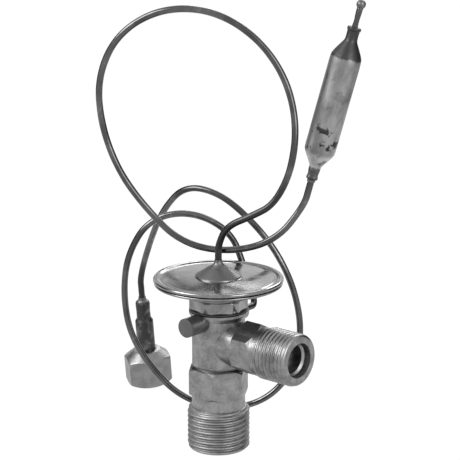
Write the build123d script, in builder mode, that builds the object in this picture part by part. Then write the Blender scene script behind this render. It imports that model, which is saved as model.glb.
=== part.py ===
from build123d import *
from math import radians, sqrt, tan
import os

# Angle-pattern thermostatic expansion valve, in millimetres.
# +Z runs up the main axis from the outlet face, +X along the inlet port.

# Port threads: 3/4-16 at the outlet, 5/8-18 at the inlet, as plain crest cylinders
OUTLET_THREAD_R = 9.45
OUTLET_THREAD_LENGTH = 11.6
INLET_THREAD_R = 7.9
INLET_THREAD_LENGTH = 10.7
THREAD_LEAD_IN = 0.8

# Outlet end of the forged body
OUTLET_RELIEF_R = 8.1
OUTLET_RELIEF_LENGTH = 3.6
OUTLET_BORE_R = 5.6
MOUTH_STEP = 1.0
MOUTH_DEPTH = 2.0
MOUTH_CHAMFER = 0.7
OUTLET_HEX_FLATS = 16.4
OUTLET_HEX_LENGTH = 9.5
HEX_CORNER_CUT = 0.9

# Barrel, collar and the stub that the head screws on
BARREL_R = 8.0
BARREL_TOP_Z = 41.2
COLLAR_R = 8.9
COLLAR_TOP_Z = 43.35
COLLAR_LENGTH = 0.75
STUB_R = 6.5
STUB_LENGTH = 6.05

# Inlet port
PORT_Z = 33.95
PORT_NECK_R = 6.8
PORT_HEX_FLATS = 14.2
PORT_HEX_START = 10.4
PORT_HEX_LENGTH = 7.1
PORT_RELIEF_R = 7.25
PORT_RELIEF_LENGTH = 1.9
PORT_MOUTH_R = 5.25
PORT_BORE_R = 4.3
PORT_THROAT_R = 2.6
PORT_THROAT_X = 9.4

# Side bosses: a blank one at the front and the equaliser's at the rear
BOSS_R = 2.9
BOSS_Z = 40.9
BLANK_BOSS_REACH = 14.7
EQUALISER_BOSS_REACH = 10.9
EQUALISER_SOCKET_DEPTH = 3.2
EQUALISER_DRILL_R = 0.8
GALLERY_R = 0.7
GALLERY_Y = 4.2

# Valve train
ROD_R = 1.0
ROD_CLEARANCE = 0.05
CHAMBER_R = 4.0
CHAMBER_LENGTH = 6.6
SEAT_R = 4.8
SEAT_LENGTH = 3.5
SEAT_BOTTOM_Z = 27.5
ORIFICE_R = 1.7
BALL_R = 2.4
BALL_GAP = 0.03
CARRIER_CUP_R = 3.3
CARRIER_FLANGE_R = 4.9
CARRIER_FLANGE_THICKNESS = 1.0
CARRIER_FLANGE_BOTTOM_Z = 22.6
CARRIER_SPIGOT_R = 3.2
CARRIER_SPIGOT_LENGTH = 1.6
SPRING_MEAN_R = 4.1
SPRING_WIRE_R = 0.45
SPRING_TURNS = 4
SPRING_LENGTH = 7.4
SPRING_SEAT_THICKNESS = 1.0
SPRING_SEAT_HOLE_R = 2.7
ADJUSTER_LENGTH = 3.5
ADJUSTER_CLEARANCE = 0.08
ADJUSTER_KEY_FLATS = 4.6
SEAL_POCKET_R = 2.2
SEAL_POCKET_DEPTH = 2.9
SEAL_LENGTH = 1.6
GLAND_LENGTH = 0.8
SLIP_GAP = 0.02

# Inlet strainer
STRAINER_SEAT_X = 10.0
STRAINER_LENGTH = 13.2
STRAINER_R = 3.2
STRAINER_WALL = 0.4
STRAINER_FLANGE_LENGTH = 0.7
STRAINER_SLOTS = 6
STRAINER_SLOT_WIDTH = 1.2
RING_LENGTH = 1.0
RING_HOLE_R = 3.1

# Head: hub and lower cover, diaphragm, upper cover
SEAL_RING_HEIGHT = 1.05
SEAL_RING_OUTER_R = 9.15
SEAL_RING_WIDTH = 1.5
SEAL_FACE_MARGIN = 0.3
HUB_R = 8.85
HUB_HEX_FLATS = 16.3
HUB_HEX_TURN = -13
HUB_LENGTH = 3.0
HUB_BORE_CLEARANCE = 0.05
COVER_STEP_R = 9.2
COVER_STEP_LENGTH = 1.1
COVER_WALL = 0.9
HEAD_R = 19.6
RIM_Z = 52.35
RIM_HEIGHT = 0.65
RIM_LAND_WIDTH = 2.6
DIAPHRAGM_THICKNESS = 0.2
DIAPHRAGM_R = 18.6
UPPER_COVER_WALL = 0.7
DISH_RISE = 1.2
CONE_BASE_R = 7.0
CONE_STEP = 0.4
CONE_TOP_R = 2.95
CONE_HEIGHT = 2.6
BUFFER_R = 9.0
BUFFER_THICKNESS = 1.1
BUFFER_BOSS_R = 2.6
BUFFER_BOSS_LENGTH = 0.8
BUFFER_GAP = 0.15

# Bent tubes
TUBE_R = 1.05
TUBE_SIDES = 12
TUBE_SOCKET_GAP = 0.03
RADIUS_SHARE = 0.45
BRAZE_HEIGHT = 2.2
CAPILLARY_START_Z = 56.0

# Sensing bulb, along its own axis from the end of the lower neck
BULB_FOOT = (19.6, 19.6, 83.2)
BULB_TIP = (29.9, 28.6, 134.6)
BULB_R = 4.7
BULB_WALL = 0.8
BULB_NECK_R = 1.75
BULB_NECK_LENGTH = 4.0
BULB_SHOULDER = 4.8
BULB_BODY_LENGTH = 28.9
BULB_TOP_NECK_R = 1.85
BULB_TOP_NECK_LENGTH = 3.2
BULB_LIP_R = 2.1
BULB_LIP_LENGTH = 0.9
CHARGE_TUBE_R = 0.95
CHARGE_TUBE_LENGTH = 5.8
CHARGE_BALL_R = 1.4

# Equaliser end fitting, along its own axis from the nut's mouth
FITTING_FOOT = (-56.2, 28.4, 1.1)
FITTING_TOP = (-55.2, 24.4, 30.6)
NUT_FLATS = 14.29
NUT_TURN = 11
NUT_LENGTH = 11.7
NUT_HEX_LENGTH = 9.3
NUT_TOP_R = 4.5
NUT_THREAD_R = 4.95
NUT_THREAD_LENGTH = 5.0
NUT_MOUTH_CHAMFER = 0.6
NUT_RELIEF_DEPTH = 0.3
NUT_RELIEF_LENGTH = 0.6
STUB_TUBE_R = 3.0
STUB_TUBE_WALL = 0.8
STUB_TUBE_TOP = 21.6
FLARE_R = 4.6
FLARE_LIP = 0.5
FLARE_GAP = 0.1
NUT_CLEARANCE = 0.08
REDUCER_R = 2.35
REDUCER_WAIST_R = 2.2
REDUCER_LENGTH = 7.3
REDUCER_INSERT = 3.0
TAIL_LENGTH = 11

# Corner points of the bulb's capillary tube, from the head to the bulb
CAPILLARY_ROUTE = [
    (0, 0, CAPILLARY_START_Z), (0, 0, 64), (3, 0, 70), (10.5, 3, 74), (16.5, 6, 77.5),
    (20.5, 9.5, 88), (20, 11.5, 102), (15.5, 11, 115.5), (7, 7.5, 127),
    (-4, 0.5, 133.5), (-16.5, -7.5, 133), (-27.5, -13.5, 125), (-34, -15.5, 112),
    (-34.5, -13.5, 97.5), (-30.5, -11, 83.5), (-24, -5.5, 72), (-13.5, -2, 62.5),
    (-0.5, 4.5, 60), (10.5, 13, 64.5), (18, 18.2, 75),
]

# Corner points of the equaliser tube, from the rear boss to the end fitting
EQUALISER_ROUTE = [
    (0, 8.2, BOSS_Z), (0, 17.8, BOSS_Z), (-7.5, 21.5, 50.5), (-11.5, 19.5, 62),
    (-22, 12.5, 68.5), (-34, 4.5, 66), (-40, 0.5, 53.5), (-40.5, 1, 40),
    (-39.5, 3, 26.5), (-34.5, 7, 15), (-27.5, 13, 5.5), (-17, 21, 1.5),
    (-6.5, 29.5, 4.5), (1, 35, 14.5), (4.5, 35.5, 28), (2.5, 34, 41),
    (-1.5, 30.5, 53.5), (-9.5, 27.5, 63), (-20.5, 24, 72), (-32.5, 21, 72.5),
    (-41.5, 20.5, 63.5), (-48.5, 21, 53),
]

# Heights that follow from the sizes above
THREAD_TOP_Z = THREAD_LEAD_IN + OUTLET_THREAD_LENGTH
OUTLET_HEX_Z = THREAD_TOP_Z + THREAD_LEAD_IN + OUTLET_RELIEF_LENGTH
OUTLET_HEX_TOP_Z = OUTLET_HEX_Z + OUTLET_HEX_LENGTH
STUB_TOP_Z = COLLAR_TOP_Z + STUB_LENGTH
SEAT_TOP_Z = SEAT_BOTTOM_Z + SEAT_LENGTH
CHAMBER_TOP_Z = SEAT_TOP_Z + CHAMBER_LENGTH
PORT_HEX_END = PORT_HEX_START + PORT_HEX_LENGTH
PORT_THREAD_X = PORT_HEX_END + PORT_RELIEF_LENGTH + 0.6
PORT_END_X = PORT_THREAD_X + INLET_THREAD_LENGTH + 0.6
SPRING_TOP_Z = CARRIER_FLANGE_BOTTOM_Z
SPRING_BOTTOM_Z = SPRING_TOP_Z - SPRING_LENGTH
SPRING_SEAT_Z = SPRING_BOTTOM_Z - SPRING_SEAT_THICKNESS
ADJUSTER_Z = SPRING_SEAT_Z - ADJUSTER_LENGTH
SEAL_POCKET_Z = STUB_TOP_Z - SEAL_POCKET_DEPTH
HUB_Z = COLLAR_TOP_Z + SEAL_RING_HEIGHT
HUB_TOP_Z = HUB_Z + HUB_LENGTH
COVER_STEP_Z = HUB_TOP_Z + COVER_STEP_LENGTH
UPPER_RIM_Z = RIM_Z + DIAPHRAGM_THICKNESS
DISH_TOP_Z = UPPER_RIM_Z + DISH_RISE
CONE_TOP_Z = DISH_TOP_Z + CONE_STEP + CONE_HEIGHT
BUFFER_TOP_Z = RIM_Z - BUFFER_GAP
BUFFER_BOTTOM_Z = BUFFER_TOP_Z - BUFFER_THICKNESS
ROD_TOP_Z = BUFFER_BOTTOM_Z - BUFFER_BOSS_LENGTH

# A 45 degree seat: the ball touches it at 0.707 of its radius
SEAT_LINE = SEAT_BOTTOM_Z + ORIFICE_R + 0.7
BALL_Z = SEAT_LINE - BALL_R * sqrt(2) - BALL_GAP
CUP_LINE = BALL_Z - BALL_R * sqrt(2) - SLIP_GAP

PORT_PLANE = Plane(origin=(0, 0, PORT_Z), x_dir=(1, 0, 0), z_dir=(0, -1, 0))
PORT_AXIS = Axis((0, 0, PORT_Z), (1, 0, 0))


def axis_plane(foot, tip):
    """A plane at the foot whose normal points at the tip."""
    return Plane(origin=foot, z_dir=Vector(*tip) - Vector(*foot))


def side_plane(base):
    """The plane that holds the base plane's normal as its own Y direction."""
    return Plane(origin=base.origin, x_dir=base.x_dir, z_dir=-base.y_dir)


def spin_axis(base):
    """The line through the base plane's origin along its normal."""
    return Axis(base.origin, base.z_dir)


def point_on(base, distance):
    """The point on the plane's normal at the distance from its origin."""
    return base.origin + base.z_dir * distance


def corner_radii(points, label):
    """The bend radius at each corner, from its shorter run and its turn."""
    corners = [Vector(*point) for point in points]
    radii = []
    for before, corner, after in zip(corners, corners[1:], corners[2:]):
        run_in = corner - before
        run_out = after - corner
        half_turn = radians(run_in.get_angle(run_out)) / 2
        shorter = min(run_in.length, run_out.length)
        radii.append(RADIUS_SHARE * shorter / tan(half_turn))
    print(label, "bend radii:", [round(radius, 1) for radius in radii])
    return radii


def save(builder, name):
    """Label the piece and write it as one file."""
    builder.part.label = name
    export_step(builder.part, f"parts/{name}.step")


BULB_PLANE = axis_plane(BULB_FOOT, BULB_TIP)
FITTING_PLANE = axis_plane(FITTING_FOOT, FITTING_TOP)
REDUCER_TOP = STUB_TUBE_TOP + REDUCER_LENGTH

os.makedirs("parts", exist_ok=True)

# Lower hex of the body, its corners cut by cones above and below
with BuildPart() as outlet_hex:
    with BuildSketch(Plane.XY.offset(OUTLET_HEX_Z)):
        RegularPolygon(radius=OUTLET_HEX_FLATS / 2, side_count=6, major_radius=False)
    extrude(amount=OUTLET_HEX_LENGTH)
    corner_r = OUTLET_HEX_FLATS / sqrt(3) + 0.1
    with BuildSketch(Plane.XZ):
        with BuildLine():
            Polyline(
                (0, OUTLET_HEX_Z), (OUTLET_RELIEF_R + 0.1, OUTLET_HEX_Z),
                (corner_r, OUTLET_HEX_Z + HEX_CORNER_CUT),
                (corner_r, OUTLET_HEX_TOP_Z - 2 * HEX_CORNER_CUT),
                (BARREL_R, OUTLET_HEX_TOP_Z), (0, OUTLET_HEX_TOP_Z), close=True,
            )
        make_face()
    revolve(axis=Axis.Z, mode=Mode.INTERSECT)

# Inlet hex, two of its flats facing along Y
with BuildPart() as inlet_hex:
    with BuildSketch(Plane.YZ.offset(PORT_HEX_START)):
        with Locations((0, PORT_Z)):
            RegularPolygon(
                radius=PORT_HEX_FLATS / 2, side_count=6, major_radius=False, rotation=30
            )
    extrude(amount=PORT_HEX_LENGTH)
    port_corner_r = PORT_HEX_FLATS / sqrt(3) + 0.1
    with BuildSketch(PORT_PLANE):
        with BuildLine():
            Polyline(
                (PORT_HEX_START, 0), (PORT_HEX_START, PORT_NECK_R + 0.2),
                (PORT_HEX_START + HEX_CORNER_CUT, port_corner_r),
                (PORT_HEX_END - HEX_CORNER_CUT, port_corner_r),
                (PORT_HEX_END, PORT_RELIEF_R), (PORT_HEX_END, 0), close=True,
            )
        make_face()
    revolve(axis=PORT_AXIS, mode=Mode.INTERSECT)

# Forged and turned body
with BuildPart() as valve_body:
    with BuildSketch(Plane.XZ):
        with BuildLine():
            Polyline(
                (0, 0), (OUTLET_THREAD_R - 0.65, 0), (OUTLET_THREAD_R, THREAD_LEAD_IN),
                (OUTLET_THREAD_R, THREAD_TOP_Z),
                (OUTLET_RELIEF_R, THREAD_TOP_Z + THREAD_LEAD_IN),
                (OUTLET_RELIEF_R, OUTLET_HEX_Z + 1), (BARREL_R, OUTLET_HEX_Z + 1),
                (BARREL_R, BARREL_TOP_Z), (COLLAR_R, COLLAR_TOP_Z - COLLAR_LENGTH),
                (COLLAR_R, COLLAR_TOP_Z), (STUB_R, COLLAR_TOP_Z), (STUB_R, STUB_TOP_Z),
                (0, STUB_TOP_Z), close=True,
            )
        make_face()
    revolve(axis=Axis.Z)
    add(outlet_hex.part)
    # Inlet port, turned round its own axis
    with BuildSketch(PORT_PLANE):
        with BuildLine():
            Polyline(
                (0, 0), (0, PORT_NECK_R), (PORT_HEX_START, PORT_NECK_R),
                (PORT_HEX_START, PORT_RELIEF_R), (PORT_THREAD_X - 0.6, PORT_RELIEF_R),
                (PORT_THREAD_X, INLET_THREAD_R),
                (PORT_THREAD_X + INLET_THREAD_LENGTH, INLET_THREAD_R),
                (PORT_END_X, INLET_THREAD_R - 0.5), (PORT_END_X, 0), close=True,
            )
        make_face()
    revolve(axis=PORT_AXIS)
    add(inlet_hex.part)
    # Side bosses
    with BuildSketch(Plane.XZ):
        with Locations((0, BOSS_Z)):
            Circle(BOSS_R)
    extrude(amount=BLANK_BOSS_REACH)
    with BuildSketch(Plane.XZ):
        with Locations((0, BOSS_Z)):
            Circle(BOSS_R)
    extrude(amount=-EQUALISER_BOSS_REACH)
    # Seat face of the head's seal, turned through the tops of the bosses
    with BuildSketch(Plane.XY.offset(COLLAR_TOP_Z)):
        Circle(SEAL_RING_OUTER_R + SEAL_FACE_MARGIN)
        Circle(STUB_R, mode=Mode.SUBTRACT)
    extrude(amount=SEAL_RING_HEIGHT, mode=Mode.SUBTRACT)
    # Outlet passage, seat pocket, inlet chamber, rod bore and seal pocket
    with BuildSketch(Plane.XZ):
        with BuildLine():
            Polyline(
                (0, 0), (OUTLET_BORE_R + MOUTH_STEP, 0),
                (OUTLET_BORE_R + MOUTH_CHAMFER, MOUTH_DEPTH),
                (OUTLET_BORE_R, MOUTH_DEPTH + MOUTH_CHAMFER), (OUTLET_BORE_R, SEAT_BOTTOM_Z),
                (SEAT_R, SEAT_BOTTOM_Z), (SEAT_R, SEAT_TOP_Z), (CHAMBER_R, SEAT_TOP_Z),
                (CHAMBER_R, CHAMBER_TOP_Z), (ROD_R + ROD_CLEARANCE, CHAMBER_TOP_Z),
                (ROD_R + ROD_CLEARANCE, SEAL_POCKET_Z), (SEAL_POCKET_R, SEAL_POCKET_Z),
                (SEAL_POCKET_R, STUB_TOP_Z), (0, STUB_TOP_Z), close=True,
            )
        make_face()
    revolve(axis=Axis.Z, mode=Mode.SUBTRACT)
    # Inlet mouth, strainer bore and throat
    with BuildSketch(PORT_PLANE):
        with BuildLine():
            Polyline(
                (PORT_END_X, 0), (PORT_END_X, PORT_MOUTH_R),
                (PORT_END_X - MOUTH_DEPTH, PORT_BORE_R + MOUTH_CHAMFER - 0.1),
                (PORT_END_X - MOUTH_DEPTH - MOUTH_CHAMFER + 0.1, PORT_BORE_R),
                (PORT_THROAT_X, PORT_BORE_R), (PORT_THROAT_X, PORT_THROAT_R),
                (0, PORT_THROAT_R), (0, 0), close=True,
            )
        make_face()
    revolve(axis=PORT_AXIS, mode=Mode.SUBTRACT)
    # Equaliser socket, its drilling and the gallery up to the diaphragm
    with BuildSketch(Plane.XZ.offset(-EQUALISER_BOSS_REACH)):
        with Locations((0, BOSS_Z)):
            Circle(TUBE_R + TUBE_SOCKET_GAP)
    extrude(amount=EQUALISER_SOCKET_DEPTH, mode=Mode.SUBTRACT)
    with BuildSketch(Plane.XZ.offset(-EQUALISER_BOSS_REACH)):
        with Locations((0, BOSS_Z)):
            Circle(EQUALISER_DRILL_R)
    extrude(amount=EQUALISER_BOSS_REACH - GALLERY_Y, mode=Mode.SUBTRACT)
    with BuildSketch(Plane.XY.offset(STUB_TOP_Z)):
        with Locations((0, GALLERY_Y)):
            Circle(GALLERY_R)
    extrude(amount=BOSS_Z - EQUALISER_DRILL_R - STUB_TOP_Z, mode=Mode.SUBTRACT)
save(valve_body, "valve_body")

# Seat pressed into the body, with a 45 degree seat below its orifice
with BuildPart() as seat_insert:
    with BuildSketch(Plane.XZ):
        with BuildLine():
            Polyline(
                (SEAT_LINE - SEAT_BOTTOM_Z, SEAT_BOTTOM_Z), (SEAT_R, SEAT_BOTTOM_Z),
                (SEAT_R, SEAT_TOP_Z), (ORIFICE_R, SEAT_TOP_Z),
                (ORIFICE_R, SEAT_LINE - ORIFICE_R), close=True,
            )
        make_face()
    revolve(axis=Axis.Z)
save(seat_insert, "seat_insert")

# Ball below the seat
with BuildPart() as valve_ball:
    with Locations((0, 0, BALL_Z)):
        Sphere(BALL_R)
save(valve_ball, "valve_ball")

# Carrier: a cup for the ball, a flange for the spring and a spigot inside it
with BuildPart() as ball_carrier:
    spigot_z = CARRIER_FLANGE_BOTTOM_Z - CARRIER_SPIGOT_LENGTH
    flange_top = CARRIER_FLANGE_BOTTOM_Z + CARRIER_FLANGE_THICKNESS
    cup_r = CARRIER_CUP_R - 1
    with BuildSketch(Plane.XZ):
        with BuildLine():
            Polyline(
                (0, spigot_z), (CARRIER_SPIGOT_R - 0.3, spigot_z),
                (CARRIER_SPIGOT_R, spigot_z + 0.3), (CARRIER_SPIGOT_R, CARRIER_FLANGE_BOTTOM_Z),
                (CARRIER_FLANGE_R, CARRIER_FLANGE_BOTTOM_Z), (CARRIER_FLANGE_R, flange_top),
                (CARRIER_CUP_R, flange_top), (CARRIER_CUP_R, CUP_LINE + cup_r),
                (cup_r, CUP_LINE + cup_r), (0, CUP_LINE), close=True,
            )
        make_face()
    revolve(axis=Axis.Z)
save(ball_carrier, "ball_carrier")

# Superheat spring with ground ends
with BuildPart() as superheat_spring:
    pitch = SPRING_LENGTH / SPRING_TURNS
    with BuildLine():
        coil = Helix(
            pitch=pitch, height=SPRING_LENGTH + 2 * SPRING_WIRE_R, radius=SPRING_MEAN_R,
            center=(0, 0, SPRING_BOTTOM_Z - SPRING_WIRE_R),
        )
    with BuildSketch(Plane(origin=coil @ 0, z_dir=coil % 0)):
        RegularPolygon(radius=SPRING_WIRE_R, side_count=8)
    sweep(path=coil, is_frenet=True)
    with Locations((0, 0, SPRING_BOTTOM_Z + SPRING_LENGTH / 2)):
        Cylinder(SPRING_MEAN_R * 2, SPRING_LENGTH, mode=Mode.INTERSECT)
save(superheat_spring, "superheat_spring")

# Spring seat washer and the adjusting nut with its through key hole
with BuildPart() as spring_seat:
    with BuildSketch(Plane.XY.offset(SPRING_SEAT_Z)):
        Circle(OUTLET_BORE_R - ADJUSTER_CLEARANCE)
        Circle(SPRING_SEAT_HOLE_R, mode=Mode.SUBTRACT)
    extrude(amount=SPRING_SEAT_THICKNESS)
save(spring_seat, "spring_seat")

with BuildPart() as adjusting_nut:
    with BuildSketch(Plane.XY.offset(ADJUSTER_Z)):
        Circle(OUTLET_BORE_R - ADJUSTER_CLEARANCE)
        RegularPolygon(
            radius=ADJUSTER_KEY_FLATS / 2, side_count=6, major_radius=False, mode=Mode.SUBTRACT
        )
    extrude(amount=ADJUSTER_LENGTH)
    chamfer(adjusting_nut.edges().filter_by(GeomType.CIRCLE), length=0.3)
save(adjusting_nut, "adjusting_nut")

# Push rod, its seal and the gland that keeps the seal down
with BuildPart() as push_rod:
    rod_bottom = BALL_Z + BALL_R + SLIP_GAP
    with BuildSketch(Plane.XY.offset(rod_bottom)):
        Circle(ROD_R)
    extrude(amount=ROD_TOP_Z - rod_bottom)
save(push_rod, "push_rod")

with BuildPart() as rod_seal:
    with BuildSketch(Plane.XY.offset(SEAL_POCKET_Z)):
        Circle(SEAL_POCKET_R)
        Circle(ROD_R + ROD_CLEARANCE, mode=Mode.SUBTRACT)
    extrude(amount=SEAL_LENGTH)
save(rod_seal, "rod_seal")

with BuildPart() as seal_gland:
    with BuildSketch(Plane.XY.offset(SEAL_POCKET_Z + SEAL_LENGTH)):
        Circle(SEAL_POCKET_R)
        Circle(ROD_R + ROD_CLEARANCE, mode=Mode.SUBTRACT)
    extrude(amount=GLAND_LENGTH)
save(seal_gland, "seal_gland")

# Buffer plate under the diaphragm
with BuildPart() as buffer_plate:
    with BuildSketch(Plane.XY.offset(BUFFER_BOTTOM_Z)):
        Circle(BUFFER_R)
    extrude(amount=BUFFER_THICKNESS)
    with BuildSketch(Plane.XY.offset(BUFFER_BOTTOM_Z)):
        Circle(BUFFER_BOSS_R)
    extrude(amount=-BUFFER_BOSS_LENGTH)
    chamfer(buffer_plate.edges().group_by(Axis.Z)[-1], length=0.4)
save(buffer_plate, "buffer_plate")

# Seal ring squeezed between the collar and the hub
with BuildPart() as head_seal:
    ring_mean_r = SEAL_RING_OUTER_R - SEAL_RING_WIDTH / 2
    with BuildSketch(Plane.XZ):
        with Locations((ring_mean_r, COLLAR_TOP_Z + SEAL_RING_HEIGHT / 2)):
            Rectangle(SEAL_RING_WIDTH, SEAL_RING_HEIGHT)
        chamfer(vertices(), length=SEAL_RING_HEIGHT * 0.3)
    revolve(axis=Axis.Z)
save(head_seal, "head_seal")

# Hub with faint wrench flats
with BuildPart() as hub:
    with BuildSketch(Plane.XY.offset(HUB_Z)):
        RegularPolygon(
            radius=HUB_HEX_FLATS / 2, side_count=6, major_radius=False, rotation=HUB_HEX_TURN
        )
        Circle(HUB_R, mode=Mode.INTERSECT)
    extrude(amount=HUB_LENGTH)

# Lower cover with its hub, bored to screw on the stub
with BuildPart() as lower_cover:
    hub_bore_r = STUB_R + HUB_BORE_CLEARANCE
    rim_inner_r = HEAD_R - RIM_LAND_WIDTH
    rim_edge_r = HEAD_R - 0.25
    with BuildSketch(Plane.XZ):
        with BuildLine():
            Polyline(
                (hub_bore_r, HUB_TOP_Z - 0.5), (HUB_HEX_FLATS / 2, HUB_TOP_Z - 0.5),
                (HUB_R, HUB_TOP_Z), (COVER_STEP_R, HUB_TOP_Z + 0.4),
                (COVER_STEP_R, COVER_STEP_Z), (rim_inner_r, RIM_Z - COVER_WALL),
                (rim_edge_r - 0.35, RIM_Z - RIM_HEIGHT), (rim_edge_r, RIM_Z - RIM_HEIGHT / 2),
                (rim_edge_r - 0.1, RIM_Z), (rim_inner_r - 0.3, RIM_Z),
                (COVER_STEP_R, COVER_STEP_Z + COVER_WALL), (hub_bore_r, STUB_TOP_Z),
                close=True,
            )
        make_face()
    revolve(axis=Axis.Z)
    add(hub.part)
    with BuildSketch(Plane.XY.offset(HUB_Z)):
        Circle(hub_bore_r)
    extrude(amount=STUB_TOP_Z - HUB_Z + 1, mode=Mode.SUBTRACT)
save(lower_cover, "lower_cover")

# Diaphragm gripped between the covers
with BuildPart() as diaphragm:
    with BuildSketch(Plane.XY.offset(RIM_Z)):
        Circle(DIAPHRAGM_R)
    extrude(amount=DIAPHRAGM_THICKNESS)
save(diaphragm, "diaphragm")

# Upper cover: rolled rim, shallow dish and raised centre cone
with BuildPart() as upper_cover:
    bore_r = TUBE_R + TUBE_SOCKET_GAP
    with BuildSketch(Plane.XZ):
        with BuildLine():
            Polyline(
                (HEAD_R - 0.35, UPPER_RIM_Z), (HEAD_R, UPPER_RIM_Z + 0.35),
                (HEAD_R - 0.3, UPPER_RIM_Z + 0.75), (HEAD_R - 0.9, UPPER_RIM_Z + 0.85),
                (HEAD_R - 2.1, UPPER_RIM_Z + 0.65), (HEAD_R - RIM_LAND_WIDTH, UPPER_RIM_Z + 0.6),
                (CONE_BASE_R + 0.3, DISH_TOP_Z), (CONE_BASE_R, DISH_TOP_Z),
                (CONE_BASE_R, DISH_TOP_Z + CONE_STEP), (CONE_TOP_R, CONE_TOP_Z),
                (bore_r, CONE_TOP_Z), (bore_r, CONE_TOP_Z - 1.1),
                (CONE_BASE_R - 0.8, DISH_TOP_Z - UPPER_COVER_WALL), (HEAD_R - RIM_LAND_WIDTH, UPPER_RIM_Z),
                close=True,
            )
        make_face()
    revolve(axis=Axis.Z)
save(upper_cover, "upper_cover")


def braze_fillet(base, inner_r, outer_r, height):
    """A hollow-sided cone of braze metal round a tube, on the base plane."""
    with BuildPart() as fillet_ring:
        with BuildSketch(side_plane(base)):
            with BuildLine():
                Polyline(
                    (inner_r + 0.15, height), (inner_r, height), (inner_r, 0), (outer_r, 0),
                    (inner_r + 0.28 * (outer_r - inner_r), 0.36 * height), close=True,
                )
            make_face()
        revolve(axis=spin_axis(base))
    return fillet_ring


capillary_braze = braze_fillet(
    Plane.XY.offset(CONE_TOP_Z), TUBE_R + TUBE_SOCKET_GAP, CONE_TOP_R - 0.1, BRAZE_HEIGHT
)
save(capillary_braze, "capillary_braze")

equaliser_braze = braze_fillet(
    Plane(origin=(0, EQUALISER_BOSS_REACH, BOSS_Z), z_dir=(0, 1, 0)),
    TUBE_R + TUBE_SOCKET_GAP, BOSS_R - 0.8, 1.0,
)
save(equaliser_braze, "equaliser_braze")

# Sensing bulb: a hollow tube swaged down to a neck at each end
shoulder_z = BULB_NECK_LENGTH + BULB_SHOULDER
body_top = shoulder_z + BULB_BODY_LENGTH
top_neck_z = body_top + BULB_SHOULDER
lip_z = top_neck_z + BULB_TOP_NECK_LENGTH
bulb_end = lip_z + BULB_LIP_LENGTH

with BuildPart() as sensing_bulb:
    with BuildSketch(side_plane(BULB_PLANE)):
        with BuildLine():
            Polyline(
                (TUBE_R + TUBE_SOCKET_GAP, 0), (BULB_NECK_R, 0),
                (BULB_NECK_R - 0.15, BULB_NECK_LENGTH * 0.5), (BULB_NECK_R, BULB_NECK_LENGTH),
                (BULB_R - 0.9, shoulder_z - 1.4), (BULB_R, shoulder_z),
                (BULB_R, body_top), (BULB_R - 0.9, body_top + 1.4),
                (BULB_TOP_NECK_R, top_neck_z), (BULB_TOP_NECK_R, lip_z),
                (BULB_LIP_R, lip_z + 0.2), (BULB_LIP_R, bulb_end - 0.2),
                (BULB_LIP_R - 0.2, bulb_end), (CHARGE_TUBE_R + TUBE_SOCKET_GAP, bulb_end),
                (CHARGE_TUBE_R + TUBE_SOCKET_GAP, top_neck_z),
                (BULB_R - BULB_WALL, body_top), (BULB_R - BULB_WALL, shoulder_z),
                (TUBE_R + TUBE_SOCKET_GAP, BULB_NECK_LENGTH), close=True,
            )
        make_face()
    revolve(axis=spin_axis(BULB_PLANE))
save(sensing_bulb, "sensing_bulb")

bulb_braze = braze_fillet(
    Plane(origin=BULB_PLANE.origin, z_dir=-BULB_PLANE.z_dir),
    TUBE_R + TUBE_SOCKET_GAP, BULB_NECK_R - 0.05, 0.9,
)
save(bulb_braze, "bulb_braze")

# Charge tube in the top neck, closed by a drop of solder
with BuildPart() as charge_tube:
    with BuildSketch(Plane(origin=point_on(BULB_PLANE, lip_z), z_dir=BULB_PLANE.z_dir)):
        Circle(CHARGE_TUBE_R)
    extrude(amount=CHARGE_TUBE_LENGTH + BULB_LIP_LENGTH)
save(charge_tube, "charge_tube")

with BuildPart() as charge_seal:
    ball_z = bulb_end + CHARGE_TUBE_LENGTH + sqrt(CHARGE_BALL_R**2 - CHARGE_TUBE_R**2)
    with BuildSketch(side_plane(BULB_PLANE)):
        with Locations((0, ball_z)):
            Circle(CHARGE_BALL_R)
        with Locations((-CHARGE_BALL_R, ball_z)):
            Rectangle(2 * CHARGE_BALL_R, 3 * CHARGE_BALL_R, mode=Mode.SUBTRACT)
        with Locations((0, bulb_end + CHARGE_TUBE_LENGTH - CHARGE_BALL_R)):
            Rectangle(3 * CHARGE_BALL_R, 2 * CHARGE_BALL_R, mode=Mode.SUBTRACT)
    revolve(axis=spin_axis(BULB_PLANE))
save(charge_seal, "charge_seal")


def bent_tube(points, name):
    """A tube of straight runs and tangent arcs along the corner points."""
    radii = corner_radii(points, name)
    with BuildPart() as tube:
        with BuildLine():
            path = FilletPolyline(*points, radius=radii)
        with BuildSketch(Plane(origin=path @ 0, z_dir=path % 0)) as section:
            RegularPolygon(radius=TUBE_R, side_count=TUBE_SIDES)
        sweep(path=path, transition=Transition.RIGHT)
    expected = section.sketch.area * path.length
    print(name, "length", round(path.length, 2), "volume", round(tube.part.volume, 2),
          "section x length", round(expected, 2))
    return tube


bulb_entry = point_on(BULB_PLANE, BULB_NECK_LENGTH - 0.5)
capillary_tube = bent_tube(CAPILLARY_ROUTE + [tuple(bulb_entry)], "capillary_tube")
save(capillary_tube, "capillary_tube")

tube_end = point_on(FITTING_PLANE, REDUCER_TOP - 2)
last_corner = point_on(FITTING_PLANE, REDUCER_TOP + TAIL_LENGTH)
equaliser_tube = bent_tube(
    EQUALISER_ROUTE + [tuple(last_corner), tuple(tube_end)], "equaliser_tube"
)
save(equaliser_tube, "equaliser_tube")

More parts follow.
